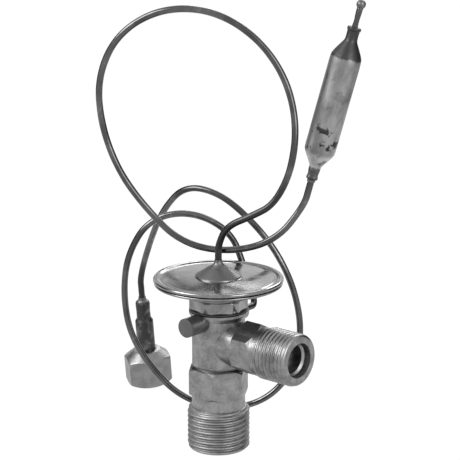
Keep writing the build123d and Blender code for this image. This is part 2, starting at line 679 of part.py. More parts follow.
# Reducer sleeve brazed between the equaliser tube and its stub
with BuildPart() as reducer:
    with BuildSketch(side_plane(FITTING_PLANE)):
        socket_r = TUBE_R + TUBE_SOCKET_GAP
        with BuildLine():
            Polyline(
                (socket_r - 0.4, STUB_TUBE_TOP - REDUCER_INSERT),
                (STUB_TUBE_R - STUB_TUBE_WALL, STUB_TUBE_TOP - REDUCER_INSERT),
                (STUB_TUBE_R - STUB_TUBE_WALL, STUB_TUBE_TOP),
                (REDUCER_WAIST_R + 0.5, STUB_TUBE_TOP),
                (REDUCER_WAIST_R, STUB_TUBE_TOP + 1.6), (REDUCER_R, REDUCER_TOP - 0.8),
                (REDUCER_R - 0.3, REDUCER_TOP), (socket_r, REDUCER_TOP),
                (socket_r, REDUCER_TOP - 2), (socket_r - 0.4, REDUCER_TOP - 2), close=True,
            )
        make_face()
    revolve(axis=spin_axis(FITTING_PLANE))
save(reducer, "reducer")

reducer_braze = braze_fillet(
    Plane(origin=point_on(FITTING_PLANE, REDUCER_TOP), z_dir=FITTING_PLANE.z_dir),
    TUBE_R + TUBE_SOCKET_GAP, REDUCER_R - 0.35, 1.5,
)
save(reducer_braze, "reducer_braze")

# Stub tube with a 45 degree flare inside the nut
flare_bottom = NUT_THREAD_LENGTH + FLARE_GAP
flare_rise = FLARE_R - STUB_TUBE_R
with BuildPart() as stub_tube:
    inner_r = STUB_TUBE_R - STUB_TUBE_WALL
    lip_r = FLARE_R - FLARE_LIP + 0.1
    with BuildSketch(side_plane(FITTING_PLANE)):
        with BuildLine():
            Polyline(
                (inner_r, STUB_TUBE_TOP), (STUB_TUBE_R, STUB_TUBE_TOP),
                (STUB_TUBE_R, flare_bottom + flare_rise + FLARE_LIP),
                (FLARE_R, flare_bottom + FLARE_LIP), (lip_r, flare_bottom + 0.1),
                (inner_r, flare_bottom + lip_r - inner_r), close=True,
            )
        make_face()
    revolve(axis=spin_axis(FITTING_PLANE))
save(stub_tube, "stub_tube")

# Flare nut: long hex, chamfered shoulder, thread bore and flare seat
with BuildPart() as flare_nut:
    nut_corner_r = NUT_FLATS / sqrt(3) + 0.1
    tube_bore_r = STUB_TUBE_R + NUT_CLEARANCE
    seat_shift = NUT_CLEARANCE * sqrt(2)
    with BuildSketch(FITTING_PLANE):
        RegularPolygon(radius=NUT_FLATS / 2, side_count=6, major_radius=False, rotation=NUT_TURN)
    extrude(amount=NUT_LENGTH)
    with BuildSketch(side_plane(FITTING_PLANE)):
        with BuildLine():
            Polyline(
                (0, 0), (NUT_FLATS / 2 - 0.1, 0), (nut_corner_r, 0.8),
                (nut_corner_r, NUT_HEX_LENGTH), (NUT_TOP_R, NUT_LENGTH), (0, NUT_LENGTH),
                close=True,
            )
        make_face()
    revolve(axis=spin_axis(FITTING_PLANE), mode=Mode.INTERSECT)
    with BuildSketch(side_plane(FITTING_PLANE)):
        cone_top = flare_bottom + flare_rise + FLARE_LIP + seat_shift
        relief_r = NUT_THREAD_R + NUT_RELIEF_DEPTH
        relief_top = NUT_THREAD_LENGTH + NUT_RELIEF_LENGTH
        seat_r = FLARE_R + NUT_CLEARANCE
        with BuildLine():
            Polyline(
                (0, 0), (NUT_THREAD_R + NUT_MOUTH_CHAMFER, 0),
                (NUT_THREAD_R, NUT_MOUTH_CHAMFER), (NUT_THREAD_R, NUT_THREAD_LENGTH),
                (relief_r, NUT_THREAD_LENGTH), (relief_r, relief_top),
                (seat_r, relief_top), (seat_r, cone_top - (seat_r - tube_bore_r) + NUT_CLEARANCE),
                (tube_bore_r, cone_top + NUT_CLEARANCE), (tube_bore_r, NUT_LENGTH),
                (0, NUT_LENGTH), close=True,
            )
        make_face()
    revolve(axis=spin_axis(FITTING_PLANE), mode=Mode.SUBTRACT)
save(flare_nut, "flare_nut")

# Strainer basket in the inlet bore, kept by a spring ring
with BuildPart() as inlet_strainer:
    strainer_end = STRAINER_SEAT_X + STRAINER_LENGTH
    flange_x = strainer_end - STRAINER_FLANGE_LENGTH
    basket_inner_r = STRAINER_R - STRAINER_WALL
    with BuildSketch(PORT_PLANE):
        with BuildLine():
            Polyline(
                (STRAINER_SEAT_X, 0), (STRAINER_SEAT_X, STRAINER_R - 0.6),
                (STRAINER_SEAT_X + 0.6, STRAINER_R), (flange_x, STRAINER_R),
                (flange_x, PORT_BORE_R), (strainer_end, PORT_BORE_R),
                (strainer_end, basket_inner_r), (STRAINER_SEAT_X + STRAINER_WALL, basket_inner_r),
                (STRAINER_SEAT_X + STRAINER_WALL, 0), close=True,
            )
        make_face()
    revolve(axis=PORT_AXIS)
    slot_length = STRAINER_LENGTH - 4
    slot_plane = Plane(
        origin=(STRAINER_SEAT_X + 1.5 + slot_length / 2, 0, PORT_Z), x_dir=(1, 0, 0), z_dir=(0, 0, 1)
    )
    for index in range(STRAINER_SLOTS // 2):
        with BuildSketch(slot_plane.rotated((index * 360 / STRAINER_SLOTS, 0, 0))):
            SlotOverall(slot_length, STRAINER_SLOT_WIDTH)
        extrude(amount=STRAINER_R + 1, both=True, mode=Mode.SUBTRACT)
save(inlet_strainer, "inlet_strainer")

with BuildPart() as strainer_ring:
    with BuildSketch(Plane.YZ.offset(strainer_end)):
        with Locations((0, PORT_Z)):
            Circle(PORT_BORE_R)
            Circle(RING_HOLE_R, mode=Mode.SUBTRACT)
            with Locations((0, -PORT_BORE_R)):
                Rectangle(1.6, 4, mode=Mode.SUBTRACT)
    extrude(amount=RING_LENGTH)
save(strainer_ring, "strainer_ring")
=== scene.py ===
import logging
import math
from dataclasses import dataclass, field
from enum import Enum

import bpy
import numpy as np
from mathutils import Matrix, Vector


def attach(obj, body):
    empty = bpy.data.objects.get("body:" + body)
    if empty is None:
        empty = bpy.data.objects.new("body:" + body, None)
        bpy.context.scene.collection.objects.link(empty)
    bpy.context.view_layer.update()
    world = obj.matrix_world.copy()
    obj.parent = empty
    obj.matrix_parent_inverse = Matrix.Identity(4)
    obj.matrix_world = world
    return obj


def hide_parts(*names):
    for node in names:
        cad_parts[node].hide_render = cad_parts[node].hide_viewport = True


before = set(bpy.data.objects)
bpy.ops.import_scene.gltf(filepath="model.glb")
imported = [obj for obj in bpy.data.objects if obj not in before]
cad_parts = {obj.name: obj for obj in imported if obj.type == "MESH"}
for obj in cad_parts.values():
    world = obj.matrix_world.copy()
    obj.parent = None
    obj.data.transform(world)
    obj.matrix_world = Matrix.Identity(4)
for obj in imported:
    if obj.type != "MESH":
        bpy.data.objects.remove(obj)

MM = 0.001
INCH = 25.4
TURN = 2 * math.pi
ROUND_SHARE = 0.48
log = logging.getLogger("expansion_valve")

Array = np.ndarray
Material = bpy.types.Material
Piece = bpy.types.Object
Socket = bpy.types.NodeSocket


class Ends(Enum):
    """How the first and last ring of a skin are finished."""

    CAPPED = "capped"
    JOINED = "joined"


class TorchEnd(Enum):
    """The end of a tube that its brazing darkened."""

    FIRST = "first"
    LAST = "last"


@dataclass(frozen=True)
class Station:
    """A place on the valve: a foot point and the axis that a turned piece stands on, in mm."""

    foot: tuple[float, float, float]
    tip: tuple[float, float, float]

    def axes(self) -> tuple[Array, Array, Array]:
        """Work out the unit axes of the station.

        Returns:
            Two side directions and the main one, a right-handed set.
        """
        main = np.subtract(self.tip, self.foot).astype(float)
        main /= np.linalg.norm(main)
        helper = np.array([1.0, 0.0, 0.0]) if abs(main[0]) < 0.9 else np.array([0.0, 1.0, 0.0])
        first = helper - main * (helper @ main)
        first /= np.linalg.norm(first)
        return first, np.cross(main, first), main

    def place(self, radius: Array, angle: Array, height: Array) -> Array:
        """Put cylinder coordinates in the valve's frame.

        P = foot + h * main + r * (cos a * first + sin a * second)

        Args:
            radius: Distances from the axis, in mm.
            angle: Angles round the axis, in radians.
            height: Distances along the axis, in mm.

        Returns:
            Points of the broadcast shape, with x, y and z last.
        """
        first, second, main = self.axes()
        radius, angle, height = np.broadcast_arrays(radius, angle, height)
        across = np.cos(angle)[..., None] * first + np.sin(angle)[..., None] * second
        return np.asarray(self.foot) + height[..., None] * main + radius[..., None] * across

    def matrix(self) -> Matrix:
        """The station as a matrix.

        Returns:
            The matrix from its own axes to the valve's frame, in metres.
        """
        first, second, main = self.axes()
        turn = Matrix((first, second, main)).transposed().to_4x4()
        return Matrix.Translation(Vector(self.foot) * MM) @ turn


MAIN_AXIS = Station((0.0, 0.0, 0.0), (0.0, 0.0, 1.0))
PORT_HEIGHT = 33.95
PORT_AXIS = Station((0.0, 0.0, PORT_HEIGHT), (1.0, 0.0, PORT_HEIGHT))
STUB_AXIS = Station((0.0, 0.0, 40.9), (0.0, -1.0, 40.9))
BULB_AXIS = Station((19.6, 19.6, 83.2), (29.9, 28.6, 134.6))
FITTING_AXIS = Station((-56.2, 28.4, 1.1), (-55.2, 24.4, 30.6))


@dataclass
class Patch:
    """Vertices in mm and the faces that join them, as whole arrays."""

    points: Array
    quads: Array = field(default_factory=lambda: np.zeros((0, 4), int))
    triangles: Array = field(default_factory=lambda: np.zeros((0, 3), int))
    slot: int = 0

    def volume(self) -> float:
        """The signed volume: sum of p0 . (p1 x p2) / 6 over the triangles.

        Returns:
            The volume, in cubic mm.
        """
        split = np.vstack([self.triangles, self.quads[:, [0, 1, 2]], self.quads[:, [0, 2, 3]]])
        a, b, c = (self.points[split[:, k]] for k in range(3))
        return float(np.einsum("ij,ij->", a, np.cross(b, c)) / 6)

    def outwards(self) -> "Patch":
        """Turn the faces so that the patch looks outwards.

        Returns:
            The patch itself.
        """
        if self.volume() < 0:
            self.quads = self.quads[:, ::-1]
            self.triangles = self.triangles[:, ::-1]
        return self


def skin(rings: Array, ends: Ends, slot: int = 0) -> Patch:
    """Join rings of points into a closed skin.

    Face (i, j) joins ring i to ring i + 1 between points j and j + 1, and the last point
    of a ring joins its first.

    Args:
        rings: Points of shape (rings, points, 3), in mm.
        ends: Fans to the middle of the end rings, or the last ring joined to the first.
        slot: The material slot of the faces.

    Returns:
        The patch, looking outwards.
    """
    rows, columns = rings.shape[:2]
    index = np.arange(rows * columns).reshape(rows, columns)
    if ends is Ends.JOINED:
        index = np.vstack([index, index[:1]])
    beside = np.roll(index, -1, axis=1)
    quads = np.stack([index[:-1], beside[:-1], beside[1:], index[1:]], axis=-1).reshape(-1, 4)
    points = rings.reshape(-1, 3)
    triangles = np.zeros((0, 3), int)
    if ends is Ends.CAPPED:
        first, last = len(points), len(points) + 1
        points = np.vstack([points, rings[0].mean(0), rings[-1].mean(0)])
        start = np.stack([np.full(columns, first), beside[0], index[0]], axis=-1)
        stop = np.stack([np.full(columns, last), index[-1], beside[-1]], axis=-1)
        triangles = np.vstack([start, stop])
    return Patch(points, quads, triangles, slot).outwards()


def circle(count: int) -> Array:
    """The angles of points spread evenly round a ring.

    Args:
        count: How many points there are.

    Returns:
        The angles, in radians.
    """
    return np.arange(count) / count * TURN


def read_array(items: bpy.types.bpy_prop_collection, attribute: str, width: int = 1,
               kind: type = float) -> Array:
    """Read an attribute of all vertices, edges, corners or faces of a mesh.

    Args:
        items: What is read.
        attribute: The attribute's name.
        width: How many numbers each item has.
        kind: The type of the numbers.

    Returns:
        A row for each item, or a number for each when the width is 1.
    """
    values = np.empty(len(items) * width, kind)
    items.foreach_get(attribute, values)
    return values.reshape(-1, width) if width > 1 else values


def add_object(name: str, data: bpy.types.ID) -> Piece:
    """Put a new object in the scene.

    Args:
        name: The object's name.
        data: Its mesh, lamp or camera.

    Returns:
        The object.
    """
    made = bpy.data.objects.new(name, data)
    bpy.context.scene.collection.objects.link(made)
    return made


def make_object(name: str, patches: list[Patch], finishes: list[Material]) -> Piece:
    """Write patches into one smooth-shaded mesh object at the origin.

    Args:
        name: The object's name.
        patches: The closed skins that it is made of.
        finishes: The materials, in the order of the patches' slots.

    Returns:
        The new object, in metres.
    """
    offsets = np.cumsum([0] + [len(p.points) for p in patches[:-1]])
    points = np.vstack([p.points for p in patches]) * MM
    corners = [faces + start for p, start in zip(patches, offsets) for faces in (p.quads, p.triangles)]
    sizes = np.concatenate([np.full(len(faces), faces.shape[1]) for faces in corners])
    slots = np.concatenate([np.full(len(p.quads) + len(p.triangles), p.slot) for p in patches])
    loops = np.concatenate([faces.ravel() for faces in corners])
    mesh = bpy.data.meshes.new(name)
    mesh.vertices.add(len(points))
    mesh.vertices.foreach_set("co", points.ravel())
    mesh.loops.add(len(loops))
    mesh.loops.foreach_set("vertex_index", loops)
    mesh.polygons.add(len(sizes))
    mesh.polygons.foreach_set("loop_start", np.concatenate([[0], np.cumsum(sizes)[:-1]]))
    for finish in finishes:
        mesh.materials.append(finish)
    mesh.polygons.foreach_set("material_index", slots)
    mesh.update(calc_edges=True)
    mesh.validate()
    mesh.shade_smooth()
    return add_object(name, mesh)


def soft_profile(corners: list[tuple[float, float]], soften: float | list[float], steps: int = 6) -> Array:
    """Round the corners of a turned piece's closed outline.

    Each corner C becomes (1-t)^2 A + 2t(1-t) C + t^2 B, with A and B on its two sides, and a
    round takes no more than ROUND_SHARE of a side.

    Args:
        corners: Radius and height of each corner, in mm.
        soften: How far from the corner the round starts, in mm, for all or for each.
        steps: Points on each round.

    Returns:
        The rounded outline, as radius and height in two columns.
    """
    points = np.array(corners, float)
    before, after = np.roll(points, 1, axis=0), np.roll(points, -1, axis=0)
    back, ahead = before - points, after - points
    back_length = np.linalg.norm(back, axis=1, keepdims=True)
    ahead_length = np.linalg.norm(ahead, axis=1, keepdims=True)
    reach = np.broadcast_to(np.asarray(soften, float), len(points))[:, None]
    reach = np.minimum(reach, ROUND_SHARE * np.minimum(back_length, ahead_length))
    start = points + back / back_length * reach
    stop = points + ahead / ahead_length * reach
    t = np.linspace(0, 1, steps)[None, :, None]
    rounds = (1 - t) ** 2 * start[:, None] + 2 * t * (1 - t) * points[:, None] + t**2 * stop[:, None]
    return rounds.reshape(-1, 2)


def turned(outline: Array, station: Station, segments: int, ends: Ends = Ends.JOINED) -> Patch:
    """Turn an outline round a station's axis: P(a, k) = place(r_k, a, h_k).

    Args:
        outline: Radius and height in two columns, in mm.
        station: Where the piece stands.
        segments: Points on each ring.
        ends: How the outline's two ends are finished.

    Returns:
        The closed patch.
    """
    return skin(station.place(outline[:, :1], circle(segments), outline[:, 1:]), ends)


def spline(corners: list[tuple[float, float, float]] | Array, samples: int, degree: int = 2) -> Array:
    """Points on a clamped B-spline, C(t) = sum of N_i(t) P_i.

    Args:
        corners: The control points, in mm.
        samples: How many points to return, evenly spread in t.
        degree: The degree of the basis functions.

    Returns:
        The points, of shape (samples, 3).
    """
    count = len(corners)
    inner = np.linspace(0, 1, count - degree + 1)
    knots = np.concatenate([np.zeros(degree), inner, np.ones(degree)])
    t = np.linspace(0, 1 - 1e-9, samples)[:, None]
    basis = ((knots[:-1] <= t) & (t < knots[1:])).astype(float)
    for k in range(1, degree + 1):
        rise = knots[k:-1] - knots[:-k - 1]
        fall = knots[k + 1:] - knots[1:-k]
        up = np.divide(t - knots[:-k - 1], rise, out=np.zeros((samples, len(rise))), where=rise > 0)
        down = np.divide(knots[k + 1:] - t, fall, out=np.zeros((samples, len(fall))), where=fall > 0)
        basis = up * basis[:, :-1] + down * basis[:, 1:]
    return basis @ np.array(corners, float)


def carried(path: Array, radius: Array, segments: int = 28) -> Patch:
    """Carry a circle along a path: P(i, a) = C_i + r_i (cos a * u_i + sin a * v_i).

    The side direction u is carried from point to point with no twist, and v = t x u.

    Args:
        path: The centre line, in mm.
        radius: The radius at each point, in mm.
        segments: Points on each ring.

    Returns:
        The closed patch.
    """
    tangent = np.gradient(path, axis=0)
    tangent /= np.linalg.norm(tangent, axis=1, keepdims=True)
    side = np.zeros_like(tangent)
    helper = np.cross(tangent[0], (0.0, 0.0, 1.0))
    side[0] = helper / np.linalg.norm(helper) if np.linalg.norm(helper) > 0.1 else (1.0, 0.0, 0.0)
    for i in range(1, len(path)):
        carried_side = side[i - 1] - tangent[i] * (side[i - 1] @ tangent[i])
        side[i] = carried_side / np.linalg.norm(carried_side)
    other = np.cross(tangent, side)
    angle = circle(segments)[None, :, None]
    across = np.cos(angle) * side[:, None] + np.sin(angle) * other[:, None]
    return skin(path[:, None] + np.broadcast_to(radius, len(path))[:, None, None] * across, Ends.CAPPED)


class Shader:
    """The node tree of one material, built a node at a time."""

    def __init__(self, name: str) -> None:
        """Start an empty material.

        Args:
            name: The material's name.
        """
        self.material = bpy.data.materials.new(name)
        self.material.use_nodes = True
        self.tree = self.material.node_tree
        self.tree.nodes.clear()
        self.output = self.tree.nodes.new("ShaderNodeOutputMaterial")

    def node(self, kind: str, inputs: dict[str | int, object] | None = None,
             **settings: object) -> bpy.types.Node:
        """Add a node.

        Args:
            kind: The node's type, without its usual beginning.
            inputs: Values or sockets for the inputs, by name or place.
            **settings: Attributes of the node.

        Returns:
            The node.
        """
        made = self.tree.nodes.new("ShaderNode" + kind)
        for key, value in settings.items():
            setattr(made, key, value)
        for key, value in (inputs or {}).items():
            if isinstance(value, Socket):
                self.tree.links.new(value, made.inputs[key])
            else:
                made.inputs[key].default_value = value
        return made

    def where(self, station: Station | None = None,
              stretch: tuple[float, float, float] = (1, 1, 1)) -> Socket:
        """Object coordinates, optionally on a station's own axes.

        Args:
            station: The station whose axis becomes Z, or none for the valve's frame.
            stretch: Factors along the three directions.

        Returns:
            The vector socket.
        """
        coordinates = self.node("TexCoord").outputs["Object"]
        if station is not None:
            back = station.matrix().inverted()
            coordinates = self.node("Mapping", {
                "Vector": coordinates, "Location": back.to_translation(), "Rotation": back.to_euler(),
            }).outputs[0]
        if stretch != (1, 1, 1):
            coordinates = self.node("Mapping", {"Vector": coordinates, "Scale": stretch}).outputs[0]
        return coordinates

    def noise(self, where: Socket, size: float, detail: float = 3.0, rough: float = 0.55,
              warp: float = 0.0) -> Socket:
        """Noise whose lumps are about the given size.

        Args:
            where: The coordinates.
            size: The size of a lump, in mm.
            detail: How many finer layers are added.
            rough: How strong the finer layers are.
            warp: How far the pattern is warped.

        Returns:
            The value socket.
        """
        return self.node("TexNoise", {
            "Vector": where, "Scale": 1 / (size * MM), "Detail": detail, "Roughness": rough,
            "Distortion": warp,
        }).outputs[0]

    def spread(self, value: Socket, low: float, high: float, first: float = 0.0, last: float = 1.0) -> Socket:
        """Spread a value from low..high to first..last, held at both ends."""
        return self.node("MapRange", {
            "Value": value, "From Min": low, "From Max": high, "To Min": first, "To Max": last,
        }, interpolation_type="SMOOTHSTEP").outputs[0]

    def times(self, first: Socket, second: Socket | float) -> Socket:
        """The product of two values."""
        return self.node("Math", {0: first, 1: second}, operation="MULTIPLY").outputs[0]

    def plus(self, first: Socket, second: Socket | float) -> Socket:
        """The sum of two values."""
        return self.node("Math", {0: first, 1: second}, operation="ADD").outputs[0]

    @staticmethod
    def grey(value: float) -> tuple[float, float, float, float]:
        """A neutral colour of the given linear value."""
        return (value, value, value, 1.0)

    def blend(self, share: Socket, first: Socket | float,
              second: Socket | float) -> Socket:
        """Mix two colours or grey levels.

        Args:
            share: How much of the second colour shows.
            first: The colour where the share is 0.
            second: The colour where the share is 1.

        Returns:
            The colour socket.
        """
        ends = [self.grey(end) if isinstance(end, (int, float)) else end for end in (first, second)]
        return self.node("Mix", {0: share, 6: ends[0], 7: ends[1]}, data_type="RGBA").outputs[2]

    def part_of(self, station: Station, low: float, high: float) -> Socket:
        """A share that goes from 0 to 1 along a station's axis.

        Args:
            station: The station whose axis is followed.
            low: Where the share is 0, in mm.
            high: Where the share is 1, in mm.

        Returns:
            The share socket.
        """
        along = self.node("SeparateXYZ", {0: self.where(station)}).outputs[2]
        return self.spread(along, low * MM, high * MM)

    def bump(self, height: Socket, depth: float, strength: float = 1.0,
             under: Socket | None = None) -> Socket:
        """Turn a height into a normal.

        Args:
            height: The height, from 0 to 1.
            depth: How deep it is, in mm.
            strength: How much of it shows.
            under: The normal that it lies on.

        Returns:
            The normal socket.
        """
        inputs = {"Height": height, "Distance": depth * MM, "Strength": strength}
        if under is not None:
            inputs["Normal"] = under
        return self.node("Bump", inputs).outputs[0]

    def surface(self, tone: Socket, shine: Socket, normal: Socket, metallic: float = 1.0) -> Material:
        """Finish the material with one surface shader.

        Args:
            tone: Its colour.
            shine: Its roughness.
            normal: Its normal.
            metallic: How much of a metal it is, from 0 to 1.

        Returns:
            The material.
        """
        shader = self.node("BsdfPrincipled", {
            "Base Color": tone, "Metallic": metallic, "Roughness": shine, "Normal": normal,
        })
        self.tree.links.new(shader.outputs[0], self.output.inputs[0])
        return self.material


@dataclass(frozen=True)
class ForgedBrass:
    """Forged metal: sand-fine grain, smudges, painted shade on the stub's end face, a painted shadow line at
    the hex's top and a ragged dark line down its front corner.
    """

    name: str = "forged_body_metal"
    light: float = 0.32
    dark: float = 0.19
    stain: float = 0.09
    grain: float = 0.28
    roughness: float = 0.35
    # Heights of the painted shadow line where the barrel meets the hex's top, in mm.
    painted_shadow_height: tuple[float, float] = (25.3, 27.0)
    # Where the stub's end face stands along its axis, in mm; that face gets painted shade.
    stub_face: float = 14.5
    corner_angle: float = -60.0

    def material(self) -> Material:
        """Build the material.

        Returns:
            The material.
        """
        shader = Shader(self.name)
        here = shader.where()
        cloud = shader.noise(here, 4.0, 5.0, 0.65, 0.4)
        fine = shader.noise(here, self.grain, 3.0, 0.6)
        tone = shader.blend(shader.spread(cloud, 0.33, 0.70), self.light, self.dark)
        tone = shader.blend(shader.spread(fine, 0.45, 0.70, 0.0, 0.55), tone, self.dark * 0.5)
        stains = shader.spread(shader.noise(here, 2.2, 5.0, 0.7, 1.0), 0.62, 0.78, 0.0, 0.7)
        tone = shader.blend(stains, tone, self.stain)
        # Painted shadow: a dark band at the hex's top, where shade falls in the crease between barrel and
        # hex.
        low, high = self.painted_shadow_height
        painted_shadow_line = shader.times(
            shader.part_of(MAIN_AXIS, low, low + 0.5), shader.part_of(MAIN_AXIS, high, high - 0.8)
        )
        tone = shader.blend(shader.times(painted_shadow_line, 0.85), tone, 0.035)
        # Painted shade: the stub's end face, which faces the left soft box, is darkened as if it lay in
        # shade.
        painted_face_shade = shader.part_of(STUB_AXIS, self.stub_face, self.stub_face + 0.15)
        tone = shader.blend(shader.times(painted_face_shade, 0.8), tone, self.dark * 0.5)
        tone = shader.blend(shader.times(self.corner_dark_line(shader, fine), 0.75), tone, 0.04)
        shine = shader.spread(cloud, 0.3, 0.7, self.roughness - 0.05, self.roughness + 0.10)
        lumps = shader.bump(shader.noise(here, 1.6, 3.0, 0.5), 0.06, 0.5)
        return shader.surface(tone, shine, shader.bump(fine, 0.035, 0.7, lumps))

    def corner_dark_line(self, shader: Shader, fine: Socket) -> Socket:
        """A ragged dark line down the front corner of the lower hex.

        Args:
            shader: The material's shader.
            fine: Noise that makes the line ragged.

        Returns:
            The share of grime.
        """
        turn = math.radians(self.corner_angle)
        corner = Station((0.0, 0.0, 0.0), (math.cos(turn), math.sin(turn), 0.0))
        parts = shader.node("SeparateXYZ", {0: shader.where(corner)})
        off = shader.node("Math", {0: parts.outputs[0]}, operation="ABSOLUTE").outputs[0]
        off = shader.plus(off, shader.spread(fine, 0.3, 0.7, 0.0, 0.25 * MM))
        near = shader.spread(off, 0.12 * MM, 0.45 * MM, 1.0, 0.0)
        line = shader.times(near, shader.part_of(corner, 9.0, 10.5))
        return shader.times(line, shader.times(
            shader.part_of(MAIN_AXIS, 16.8, 17.6), shader.part_of(MAIN_AXIS, 26.4, 25.8)
        ))


@dataclass(frozen=True)
class TurnedBrass:
    """Machined threads: fine lines round the axis under light tarnish."""

    name: str
    station: Station
    light: float = 0.34
    dark: float = 0.25
    roughness: float = 0.46

    def material(self) -> Material:
        """Build the material.

        Returns:
            The material.
        """
        shader = Shader(self.name)
        own = shader.where(self.station)
        lines = shader.noise(shader.where(self.station, (0.04, 0.04, 1.0)), 0.12, 2.0, 0.6)
        cloud = shader.noise(own, 4.0, 4.0, 0.6, 0.5)
        tone = shader.blend(shader.spread(cloud, 0.35, 0.7), self.light, self.dark)
        shine = shader.spread(lines, 0.3, 0.7, self.roughness - 0.06, self.roughness + 0.12)
        return shader.surface(tone, shine, shader.bump(lines, 0.006, 0.4))


@dataclass(frozen=True)
class PlatedSteel:
    """Bright plated pressing: fine turning rings, handling haze, dull spots and a duller cone."""

    name: str = "bright_plated_steel"
    light: float = 0.26
    dark: float = 0.16
    roughness: float = 0.10
    cone_foot: float = 53.85
    cone_tone: float = 0.115

    def material(self) -> Material:
        """Build the material.

        Returns:
            The material.
        """
        shader = Shader(self.name)
        here = shader.where()
        haze = shader.noise(here, 9.0, 4.0, 0.6, 0.8)
        rings = shader.node("TexWave", {
            "Vector": here, "Scale": 900.0, "Distortion": 1.5, "Detail": 2.0, "Detail Scale": 2.0,
        }, wave_type="RINGS", rings_direction="Z").outputs[1]
        specks = shader.spread(shader.noise(here, 0.5, 3.0, 0.6), 0.62, 0.75, 0.0, 0.5)
        tone = shader.blend(shader.spread(haze, 0.35, 0.7), self.light, self.dark)
        tone = shader.blend(specks, tone, self.dark * 0.7)
        cone = shader.part_of(MAIN_AXIS, self.cone_foot, self.cone_foot + 0.3)
        tone = shader.blend(shader.times(cone, 0.85), tone, self.cone_tone)
        shine = shader.spread(haze, 0.3, 0.7, self.roughness, self.roughness + 0.12)
        shine = shader.plus(shine, shader.times(cone, 0.26))
        wavy = shader.bump(shader.noise(here, 5.0, 2.0, 0.4), 0.05, 0.5)
        return shader.surface(tone, shine, shader.bump(rings, 0.004, 0.35, wavy))


@dataclass(frozen=True)
class DrawnTube:
    """Dark drawn tube: glossy, paler where it was handled, and heat-darkened next to its braze."""

    name: str
    light: float = 0.12
    dark: float = 0.065
    roughness: float = 0.13
    worn: float = 0.20
    heated: float = 0.0
    heated_tone: float = 0.04

    def material(self) -> Material:
        """Build the material.

        Returns:
            The material.
        """
        shader = Shader(self.name)
        here = shader.where()
        cloud = shader.noise(here, 14.0, 3.0, 0.5, 0.6)
        mottle = shader.noise(here, 1.6, 4.0, 0.6)
        tone = shader.blend(shader.spread(cloud, 0.35, 0.66), self.light, self.dark)
        rubbed = shader.times(shader.spread(mottle, 0.50, 0.70), shader.spread(cloud, 0.30, 0.52, 1.0, 0.0))
        tone = shader.blend(rubbed, tone, self.worn)
        shine = shader.spread(mottle, 0.3, 0.7, self.roughness - 0.05, self.roughness + 0.10)
        if self.heated:
            along = shader.node("Attribute", attribute_name="along").outputs["Fac"]
            heat = shader.spread(along, self.heated * MM, (self.heated + 9.0) * MM, 1.0, 0.0)
            tone = shader.blend(shader.times(heat, 0.9), tone, self.heated_tone)
            shine = shader.plus(shine, shader.times(heat, 0.14))
        return shader.surface(tone, shine, shader.bump(mottle, 0.01, 0.4))


@dataclass(frozen=True)
class TarnishedCopper:
    """Bulb metal: grey tarnish, dark blotches, heat-tinted upper end and solder low down."""

    name: str
    station: Station
    light: float = 0.31
    mid: float = 0.18
    dark: float = 0.035
    heat_from: float = 36.2
    heat_full: float = 38.4
    solder: tuple[float, float] = (3.4, 7.5)
    blotches: tuple[float, float] = (24.0, 14.0)
    roughness: float = 0.40

    def material(self) -> Material:
        """Build the material.

        Returns:
            The material.
        """
        shader = Shader(self.name)
        own = shader.where(self.station)
        long_way = shader.where(self.station, (1.0, 1.0, 0.35))
        cloud = shader.noise(long_way, 3.6, 5.0, 0.65)
        spots = shader.noise(own, 4.6, 4.0, 0.6, 0.15)
        fine = shader.noise(own, 0.6, 4.0, 0.6)
        low_part = shader.part_of(self.station, *self.blotches)
        tone = shader.blend(shader.spread(cloud, 0.32, 0.66), self.light, self.mid)
        share = shader.plus(shader.times(low_part, 0.75), 0.25)
        blotch = shader.times(shader.spread(spots, 0.555, 0.60), share)
        tone = shader.blend(blotch, tone, self.dark)
        solder = shader.times(
            shader.part_of(self.station, self.solder[0] - 0.5, self.solder[0] + 0.6),
            shader.part_of(self.station, self.solder[1] + 1.4, self.solder[1] - 0.6),
        )
        tone = shader.blend(shader.times(solder, shader.spread(spots, 0.45, 0.56, 0.85, 0.1)), tone, 0.55)
        ragged = shader.plus(
            shader.part_of(self.station, self.heat_from, self.heat_full),
            shader.spread(cloud, 0.3, 0.7, -0.18, 0.18),
        )
        tone = shader.blend(shader.spread(ragged, 0.25, 0.75, 0.0, 0.92), tone, self.dark)
        neck = shader.part_of(self.station, 4.2, 3.2)
        tone = shader.blend(shader.times(neck, shader.spread(fine, 0.35, 0.6, 0.55, 0.95)), tone, 0.07)
        shine = shader.spread(cloud, 0.3, 0.7, self.roughness - 0.05, self.roughness + 0.18)
        dents = shader.bump(cloud, 0.12, 0.35)
        return shader.surface(tone, shine, shader.bump(fine, 0.025, 0.5, dents))


@dataclass(frozen=True)
class HeatBlackened:
    """Copper blackened by the torch: nearly black with grey scuffs."""

    name: str = "heat_blackened_copper"
    dark: float = 0.045
    scuff: float = 0.12
    roughness: float = 0.36

    def material(self) -> Material:
        """Build the material.

        Returns:
            The material.
        """
        shader = Shader(self.name)
        here = shader.where()
        mottle = shader.noise(here, 2.4, 3.0, 0.6, 0.5)
        tone = shader.blend(shader.spread(mottle, 0.50, 0.68, 0.0, 0.9), self.dark, self.scuff)
        shine = shader.spread(mottle, 0.3, 0.7, self.roughness + 0.15, self.roughness - 0.1)
        return shader.surface(tone, shine, shader.bump(mottle, 0.04, 0.4), 0.85)


